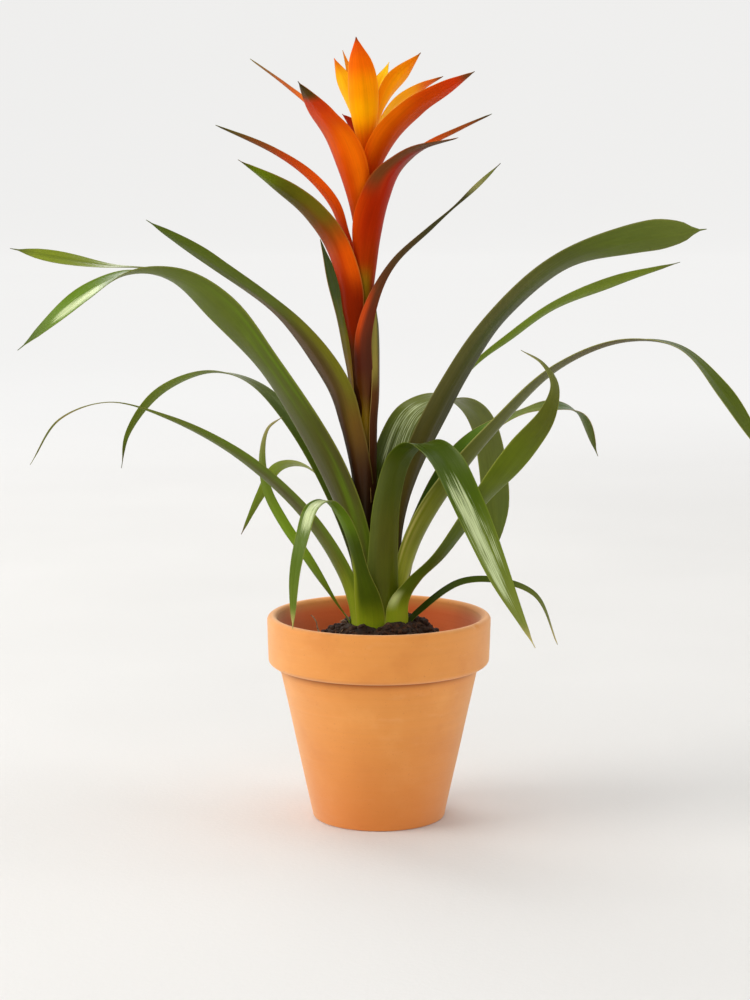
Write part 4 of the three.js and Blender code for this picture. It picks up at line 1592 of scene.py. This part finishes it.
@dataclass
class Soil:
    """The filling of the pot, crowned in the middle, loose on top and open where the leaves stand."""

    pot: Pot
    edge_height: float = 107
    crown: float = 21.8
    crown_power: float = 2.25
    clod: float = 1.6
    long_waves: Pair = (0.21, 0.17)
    short_waves: Pair = (0.34, 0.27)
    short_share: float = 0.6
    loose: tuple[Triple, ...] = ((1.3, 5.0, 2.0), (0.7, 2.1, 7.0))  # height, width and seed of rough waves
    waist: float = 60  # height of the ring of corners halfway down
    well_radius: float = 19
    well_top: float = 113
    well_floor: float = 107.7
    well_taper: float = 0.2
    gap: float = 0.3
    rings: int = 46
    sides: int = 168
    crumbs: int = 1500
    crumb_sizes: Pair = (0.45, 2.2)
    small_power: float = 2.2  # 1 would give as many large crumbs as small ones
    crumb_roughness: float = 0.35
    crumb_sink: Pair = (-0.1, 0.5)  # its middle's height over the bed, over its size
    crumb_stretch: tuple[Pair, ...] = ((0.7, 1.5), (0.6, 1.1), (0.5, 0.9))
    crumb_tilt: float = 0.5  # in radians
    inner: float = 19.6  # crumbs start this far from the middle
    edge_gap: float = 0.6  # and end this far from the pot
    humps: tuple[tuple[float, ...], ...] = ((27, 12, 10, 5.5), (4, -21, 8, 3.2))  # x, y, width, height
    roots: int = 16
    root_steps: int = 12
    root_step: float = 0.95
    root_sides: int = 6
    root_reach: Pair = (24, 54)
    root_radius: Pair = (0.14, 0.26)
    root_bend: float = 0.35  # most that it turns at a step, in radians
    root_lift: float = 0.5  # how far it clears the bed, and how far it rises and falls
    first_root: tuple[float, ...] = (-33.0, -19.0, 1.9, 0.34)  # x, y, heading, radius
    standing: tuple[Pair, ...] = (  # (x, height) points of the root that stands up at the front left
        (-36.5, 115.5),
        (-37.2, 119),
        (-38.4, 122.5),
        (-38.9, 126),
        (-40.6, 129),
        (-42.2, 130.6),
    )

    def radius(self, height: float) -> float:
        """Radius of the soil at a height: just clear of the pot's inner wall."""
        up = (height - self.pot.floor) / (self.pot.height - self.pot.lip_round - self.pot.floor)
        return lerp(self.pot.floor_radius, self.pot.lip_radius, up) - self.gap

    def surface(self, x: float, y: float) -> float:
        """Height of the bed at a place.

        Args:
            x: place to the right.
            y: place to the back.

        Returns:
            The height with its clods.
        """
        share = min(1.0, math.hypot(x, y) / self.radius(self.edge_height))
        crowned = self.crown * (1 - share**2) ** self.crown_power
        lumps = math.cos(self.long_waves[0] * x) * math.cos(self.long_waves[1] * y)
        lumps += self.short_share * math.sin(self.short_waves[0] * x - self.short_waves[1] * y)
        loose = sum(high * ruffle(x / wide, y / wide, seed) for high, wide, seed in self.loose)
        raised = sum(
            high * math.exp(-(((x - hump_x) / wide) ** 2) - ((y - hump_y) / wide) ** 2)
            for hump_x, hump_y, wide, high in self.humps
        )
        held = 1 - share**6
        return self.edge_height + crowned + self.clod * lumps * (1 - share**4) + (loose + raised) * held

    def bed(self, shape: Shape) -> None:
        """Adds the closed body of the soil.

        Args:
            shape: what it is added to.
        """
        bottom = self.pot.floor + self.gap
        rows = [(self.radius(bottom), bottom), (self.radius(self.waist), self.waist)]
        outer = self.radius(self.edge_height)
        rows += [(lerp(outer, self.well_radius, i / self.rings), None) for i in range(self.rings + 1)]
        inner = self.well_radius - self.well_taper
        rows += [(inner, self.well_top), (inner, self.well_floor)]
        for radius, height in rows:
            for angle in turns(self.sides):
                x, y = radius * math.cos(angle), radius * math.sin(angle)
                shape.corners.append(Vector((x, y, self.surface(x, y) if height is None else height)))
        shape.wrap(0, len(rows), self.sides)

    def crumb(self, shape: Shape, ball: Shape, draw: random.Random) -> None:
        """Adds one crumb, sunk into the bed.

        Args:
            shape: the soil so far.
            ball: a plain ball of radius 1 to shape it from.
            draw: where its size and place are drawn from.
        """
        small, large = self.crumb_sizes
        size = lerp(small, large, draw.random() ** self.small_power)
        outer = self.radius(self.edge_height) - size - self.edge_gap
        reach = math.sqrt(lerp((self.inner + size) ** 2, outer**2, draw.random()))
        angle = draw.uniform(-math.pi, math.pi)
        x, y = reach * math.cos(angle), reach * math.sin(angle)
        middle = Vector((x, y, self.surface(x, y) + size * draw.uniform(*self.crumb_sink)))
        stretch = Vector([draw.uniform(*limits) for limits in self.crumb_stretch]) * size
        tilts = [draw.uniform(-self.crumb_tilt, self.crumb_tilt) for _ in range(2)]
        turn = Euler((*tilts, draw.uniform(0, math.pi)))
        seed = draw.uniform(0, 50)
        first = len(shape.corners)
        for corner in ball.corners:
            rough = 1 + self.crumb_roughness * ruffle(corner.x * 1.4 + seed, corner.y * 1.4, corner.z * 1.4)
            local = Vector((corner.x * stretch.x, corner.y * stretch.y, corner.z * stretch.z)) * rough
            local.rotate(turn)
            shape.corners.append(middle + local)
        shape.faces += [tuple(first + corner for corner in face) for face in ball.faces]

    def build(self) -> list[bpy.types.Object]:
        """Makes the soil, and the dry root fibres that lie on it."""
        draw = random.Random(11)
        shape = Shape()
        self.bed(shape)
        ball = unit_ball()
        for _ in range(self.crumbs):
            self.crumb(shape, ball, draw)
        bed = shape.place("loose_soil", Slot.SOIL, Earth().paint(), "soil")
        return [bed, self.fibres(draw)]

    def fibres(self, draw: random.Random) -> bpy.types.Object:
        """Lays thin dry roots on the soil, with one that stands up at the front left.

        Args:
            draw: where their sizes and places are drawn from.

        Returns:
            The roots as one object.
        """
        shape = Shape()
        starts = [self.first_root]
        for _ in range(self.roots):
            reach, angle = draw.uniform(*self.root_reach), draw.uniform(-math.pi, math.pi)
            heading, radius = draw.uniform(0, 2 * math.pi), draw.uniform(*self.root_radius)
            starts.append((reach * math.cos(angle), reach * math.sin(angle), heading, radius))
        for x, y, heading, radius in starts:
            path = []
            for step in range(self.root_steps):
                x += self.root_step * math.cos(heading)
                y += self.root_step * math.sin(heading)
                heading += draw.uniform(-self.root_bend, self.root_bend)
                lift = radius + self.root_lift + self.root_lift * math.sin(step * 0.7)
                path.append(Vector((x, y, self.surface(x, y) + lift)))
            tube(shape, path, lambda share, full=radius: full * (1 - 0.6 * share), self.root_sides)
        standing = [Vector((x, -10 - 0.5 * index, z)) for index, (x, z) in enumerate(self.standing)]
        tube(shape, standing, lambda share: 0.7 - 0.4 * share, self.root_sides)
        return shape.place("root_fibres", Slot.STEM, Fibre().paint())


@dataclass(frozen=True)
class Fibre:
    """Dry pale root."""

    name: str = "dry_root"
    body: tuple[Stop, ...] = ((0.3, (120, 92, 66)), (0.6, (176, 146, 112)), (0.8, (206, 182, 150)))
    grain: Pattern = Pattern(700.0, roughness=0.6)

    def paint(self) -> bpy.types.Material:
        """Builds the material."""
        p = Paint(self.name)
        grain = p.noise(p.place(), self.grain)
        return p.finish(p.ramp(grain, self.body), 0.8, p.bump(grain, 0.0001), Specular_IOR_Level=0.3)


def unit_ball() -> Shape:
    """A ball of radius 1 with 42 corners."""
    mesh = bmesh.new()
    bmesh.ops.create_icosphere(mesh, subdivisions=2, radius=1.0)
    mesh.verts.ensure_lookup_table()
    faces = [tuple(corner.index for corner in face.verts) for face in mesh.faces]
    ball = Shape([corner.co.copy() for corner in mesh.verts], faces)
    mesh.free()
    return ball


def tube(shape: Shape, path: Sequence[Vector], radius: Callable[[float], float], sides: int) -> None:
    """Adds a closed round tube along a path.

    Args:
        shape: what it is added to.
        path: the points that it follows.
        radius: its radius at a share of the way.
        sides: corners round it.
    """
    first = len(shape.corners)
    last = len(path) - 1
    side = Vector((0, 0, 1)) if abs((path[1] - path[0]).normalized().z) < 0.9 else Vector((0, 1, 0))
    for i, place in enumerate(path):
        way = (path[min(i + 1, last)] - path[max(i - 1, 0)]).normalized()
        side = (side - way * side.dot(way)).normalized()
        other = way.cross(side)
        for angle in turns(sides):
            out = side * math.cos(angle) + other * math.sin(angle)
            shape.corners.append(place + out * radius(i / last))
    shape.wrap(first, len(path), sides)


# ---------------------------------------------------------------- the flower stem


@dataclass(frozen=True)
class Bark:
    """The stem's skin: pale at the stock, then reddish brown with pale specks."""

    name: str = "stem_skin"
    body: tuple[Stop, ...] = (
        (0.0, (150, 152, 84)),
        (0.05, (96, 84, 50)),
        (0.12, (54, 30, 26)),
        (0.6, (70, 32, 26)),
        (1.0, (150, 60, 24)),
    )
    rise: Pair = (0.108, 0.42)  # heights of the first and last colour, in metres
    specks: Fleck = Fleck(Pattern(1500.0, 1.0, 0.5), (168, 136, 104), (0.66, 0.74), 0.5)
    streaks: Pattern = Pattern(roughness=0.6, stretch=(1400.0, 1400.0, 40.0))
    streak_tone: float = 0.5  # how far they lighten and darken the colour
    streak_depth: float = 0.0002

    def paint(self) -> bpy.types.Material:
        """Builds the material."""
        p = Paint(self.name)
        place = p.place()
        body = p.ramp(p.step(p.height(place), *self.rise), self.body)
        streak = p.noise(place, self.streaks)
        lined = p.shade(body, p.waver(streak, self.streak_tone))
        colour = p.fleck(lined, p.noise(place, self.specks.pattern), self.specks)
        normal = p.bump(streak, self.streak_depth)
        return p.finish(colour, 0.5, normal, Coat_Weight=0.15, Coat_Roughness=0.3)


@dataclass
class FlowerStem:
    """The stock and the flower stem in one, a round rod that narrows and leans with its height."""

    foot: float = 108
    stock_radius: float = 10.2
    stock_round: float = 1
    stock_top: float = 128
    neck_radius: float = 5
    neck_top: float = 172
    radius: float = 4.1
    radius_to: float = 245
    head_radius: float = 3.4
    head_from: float = 282
    head_to: float = 400
    tip_radius: float = 1.7
    tip_height: float = 440
    sides: int = 32
    pitch: float = 1.5
    joints: float = 31.0  # between the stem's leaf scars
    swelling: float = 0.22
    scar: float = 0.045  # height of a scar's swelling, as a share of that distance
    rib: float = 0.06
    ribs: int = 9
    smooth_over: float = 10.0  # how gently the scars and ribs begin above the neck

    def outline(self) -> list[Pair]:
        """(radius, height) corners of the stem."""
        return [
            (self.stock_radius - self.stock_round, self.foot),
            (self.stock_radius, self.foot + self.stock_round),
            (self.stock_radius, self.stock_top),
            (self.neck_radius, (self.stock_top + self.neck_top) / 2),
            (self.radius, self.neck_top),
            (self.radius, self.radius_to),
            (self.head_radius, self.head_from),
            (self.head_radius, self.head_to),
            (self.tip_radius, self.tip_height),
        ]

    def build(self) -> bpy.types.Object:
        """Turns the outline, swollen a little at each scar, into the stem."""
        shape = Shape()
        corners = self.outline()
        rows = divided(corners, [top[1] - low[1] for low, top in zip(corners, corners[1:])], self.pitch)
        for radius, height in rows:
            phase = ((height - self.foot) % self.joints) / self.joints
            above = smoothstep(height, self.neck_top - self.smooth_over, self.neck_top + self.smooth_over)
            swollen = radius + self.swelling * math.exp(-(((phase - 0.5) / self.scar) ** 2)) * above
            for angle in turns(self.sides):
                ribbed = swollen + self.rib * math.cos(angle * self.ribs) * above
                x = LEAN.at(height) + ribbed * math.cos(angle)
                shape.corners.append(Vector((x, ribbed * math.sin(angle), height)))
        shape.wrap(0, len(rows), self.sides)
        return shape.place("leafy_stem_core", Slot.STEM, Bark().paint(), "flower_stem")


# ---------------------------------------------------------------- the plant


@dataclass
class Plant:
    """The rosette, the leaves on the stem and the bracts."""

    leaf_skin: Skin = Skin(
        "leaf_skin", streaks=0.26, roughness=(0.48, 0.3), ribs=0.00008, coat=0.08, glow=0.03
    )
    bract_skin: Skin = Skin(
        "bract_skin",
        streaks=0.22,
        roughness=(0.42, 0.36),
        ribs=0.00006,
        coat=0.0,
        glow=0.03,
        level=0.07,
        cast=(255, 246, 160),
        mirror=(255, 190, 130),
    )
    clasp: float = 150  # most of the half-angle that the stem leaves wrap the stem by
    bract_furrow: float = 0.5
    bract_ripple: float = 0.3
    bract_pleat: float = 0.05

    def blades(self) -> list[Blade]:
        """Every leaf and bract with its form, colours and slot."""
        made = []
        for name, form in ROSETTE.items():
            made.append(Blade(name, form, TINTS[name], Slot.LEAF, False, len(made)))
        for name, form in STEM_LEAVES.items():
            made.append(Blade(name, form, TINTS[name], Slot.STEM_LEAF, True, len(made), tightest=self.clasp))
        ribs = {"furrow": self.bract_furrow, "ripple": self.bract_ripple, "pleat": self.bract_pleat}
        for name, form in BRACTS.items():
            slot = Slot.BRACT_GOLD if name in GOLDEN else Slot.BRACT_ORANGE
            made.append(Blade(name, form, TINTS[name], slot, True, len(made), **ribs))
        return made

    def build(self) -> list[bpy.types.Object]:
        """Makes every blade."""
        leaf, bract = self.leaf_skin.paint(), self.bract_skin.paint()
        return [blade.build(bract if blade.name.startswith("bract") else leaf) for blade in self.blades()]


# ---------------------------------------------------------------- the studio


@dataclass(frozen=True)
class Lamp:
    """A soft rectangular light: place, what it faces, size in metres, power in watts and colour."""

    name: str
    place: Triple
    target: Triple
    size: Pair
    power: float
    colour: Triple

    def build(self) -> bpy.types.Object:
        """Sets the light up."""
        data = bpy.data.lights.new(self.name, "AREA")
        data.shape = "RECTANGLE"
        data.size, data.size_y = self.size
        data.energy = self.power
        data.color = self.colour
        lamp = bpy.data.objects.new(self.name, data)
        lamp.location = self.place
        lamp.rotation_euler = (Vector(self.target) - Vector(self.place)).to_track_quat("-Z", "Y").to_euler()
        bpy.context.scene.collection.objects.link(lamp)
        return lamp


@dataclass
class Studio:
    """A pale floor that sweeps up into a far wall, soft lights and the camera, in metres."""

    floor_rings: tuple[float, ...] = (0.02, 0.4, 1.2, 3.0, 8.0)
    sweep: float = 2.0
    sweep_steps: int = 12
    wall_top: float = 4.6
    sides: int = 96
    floor_tones: tuple[Stop, ...] = ((0.3, (220, 219, 217)), (0.7, (226, 225, 223)))
    floor_clouds: Pattern = Pattern(1.4)
    floor_grain: Pattern = Pattern(300.0)
    floor_depth: float = 0.0002
    camera_place: Triple = (-0.0025, -1.4785, 0.4176)
    camera_down: float = 8.33
    lens: float = 86.4
    sensor: float = 36.0
    sky_light: float = 0.48
    sky_slope: Triple = (-0.2, 0.24, 0.16)  # how the sky brightens to the left, back and top
    far_from: float = 0.75
    far_to: float = 2.6
    far_glow: float = 0.82  # light of the far floor and wall, so that they show as pale as the near floor
    far_share: float = 0.08  # how much of the near floor's paleness the far floor keeps
    far_colour: tuple[float, float, float, float] = (1.0, 0.995, 0.985, 1.0)
    lamps: tuple[Lamp, ...] = (
        Lamp("key_window", (-2.5, -0.7, 1.8), (0, 0, 0.25), (1.8, 1.8), 46, (1.0, 0.97, 0.93)),
        Lamp("back_window", (-1.1, 2.3, 1.7), (0, 0, 0.3), (2.2, 1.2), 22, (1.0, 0.99, 0.97)),
        Lamp("front_fill", (-0.6, -2.6, 1.5), (0, 0, 0.25), (1.4, 1.4), 7, (1.0, 0.99, 0.98)),
        Lamp("right_fill", (2.4, -0.6, 1.0), (0, 0, 0.25), (1.2, 1.6), 9, (1.0, 0.99, 0.97)),
        Lamp("top_strip", (0.3, 0.3, 2.4), (0, 0, 0.3), (1.6, 0.5), 9, (1.0, 1.0, 1.0)),
    )

    def floor(self) -> bpy.types.Object:
        """Makes the floor with its sweep and wall."""
        rows = [(radius, 0.0) for radius in self.floor_rings]
        edge = self.floor_rings[-1]
        for i in range(1, self.sweep_steps + 1):
            angle = math.pi / 2 * i / self.sweep_steps
            rows.append((edge + self.sweep * math.sin(angle), self.sweep * (1 - math.cos(angle))))
        rows.append((edge + self.sweep, self.wall_top))
        corners = []
        faces = [tuple(range(self.sides))]
        for radius, height in rows:
            for angle in turns(self.sides):
                corners.append((radius * math.cos(angle), radius * math.sin(angle), height))
        for i in range(len(rows) - 1):
            a, b = i * self.sides, (i + 1) * self.sides
            for j in range(self.sides):
                k = (j + 1) % self.sides
                faces.append((a + j, b + j, b + k, a + k))
        mesh = bpy.data.meshes.new("pale_floor")
        mesh.from_pydata(corners, [], faces)
        mesh.polygons.foreach_set("use_smooth", [True] * len(mesh.polygons))
        mesh.materials.append(self.floor_paint())
        made = bpy.data.objects.new("pale_floor", mesh)
        bpy.context.scene.collection.objects.link(made)
        return made

    def floor_paint(self) -> bpy.types.Material:
        """Builds the floor's matt skin, which glows faintly far from the part."""
        p = Paint("pale_floor")
        place = p.place()
        near = p.ramp(p.noise(place, self.floor_clouds), self.floor_tones)
        reach = p.node("ShaderNodeVectorMath", operation="LENGTH")
        p.feed(reach.inputs[0], place)
        far = p.step(reach.outputs["Value"], self.far_from, self.far_to)
        colour = p.shade(near, p.math("MULTIPLY_ADD", far, self.far_share - 1.0, 1.0))
        p.feed(p.shader.inputs["Emission Strength"], p.math("MULTIPLY", far, self.far_glow))
        normal = p.bump(p.noise(place, self.floor_grain), self.floor_depth)
        return p.finish(colour, 0.9, normal, Specular_IOR_Level=0.2, Emission_Color=self.far_colour)

    def air(self) -> None:
        """Sets the pale sky light and the plain view of the colours."""
        scene = bpy.context.scene
        world = bpy.data.worlds.new("pale_air")
        scene.world = world
        world.use_nodes = True
        tree = world.node_tree
        sky = tree.nodes["Background"]
        sky.inputs["Color"].default_value = (1.0, 1.0, 1.0, 1.0)
        way = tree.nodes.new("ShaderNodeTexCoord").outputs["Generated"]
        slope = tree.nodes.new("ShaderNodeVectorMath")
        slope.operation = "DOT_PRODUCT"
        slope.inputs[1].default_value = self.sky_slope
        strength = tree.nodes.new("ShaderNodeMath")
        strength.operation = "ADD"
        strength.inputs[1].default_value = self.sky_light
        tree.links.new(way, slope.inputs[0])
        tree.links.new(slope.outputs["Value"], strength.inputs[0])
        tree.links.new(strength.outputs[0], sky.inputs["Strength"])
        scene.view_settings.view_transform = "Standard"
        scene.view_settings.look = "None"

    def camera(self) -> bpy.types.Object:
        """Sets the camera where the photograph was taken from."""
        data = bpy.data.cameras.new("camera")
        data.lens = self.lens
        data.sensor_width = self.sensor
        made = bpy.data.objects.new("camera", data)
        made.location = self.camera_place
        made.rotation_euler = (math.radians(90 - self.camera_down), 0, 0)
        bpy.context.scene.collection.objects.link(made)
        bpy.context.scene.camera = made
        return made

    def build(self) -> list[bpy.types.Object]:
        """Sets everything up round the part."""
        self.air()
        return [self.camera(), self.floor(), *(lamp.build() for lamp in self.lamps)]


# ---------------------------------------------------------------- all together


def main() -> None:
    """Builds the scene and reports each piece."""
    logging.basicConfig(level=logging.INFO, format="%(name)s: %(message)s")
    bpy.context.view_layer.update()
    Studio().build()
    pot = Pot()
    pieces = [pot.build(), *Soil(pot).build(), FlowerStem().build(), *Plant().build()]
    for piece in pieces:
        LOG.info("%s: %d faces", piece.name, len(piece.data.polygons))


if __name__ == "__main__":
    main()
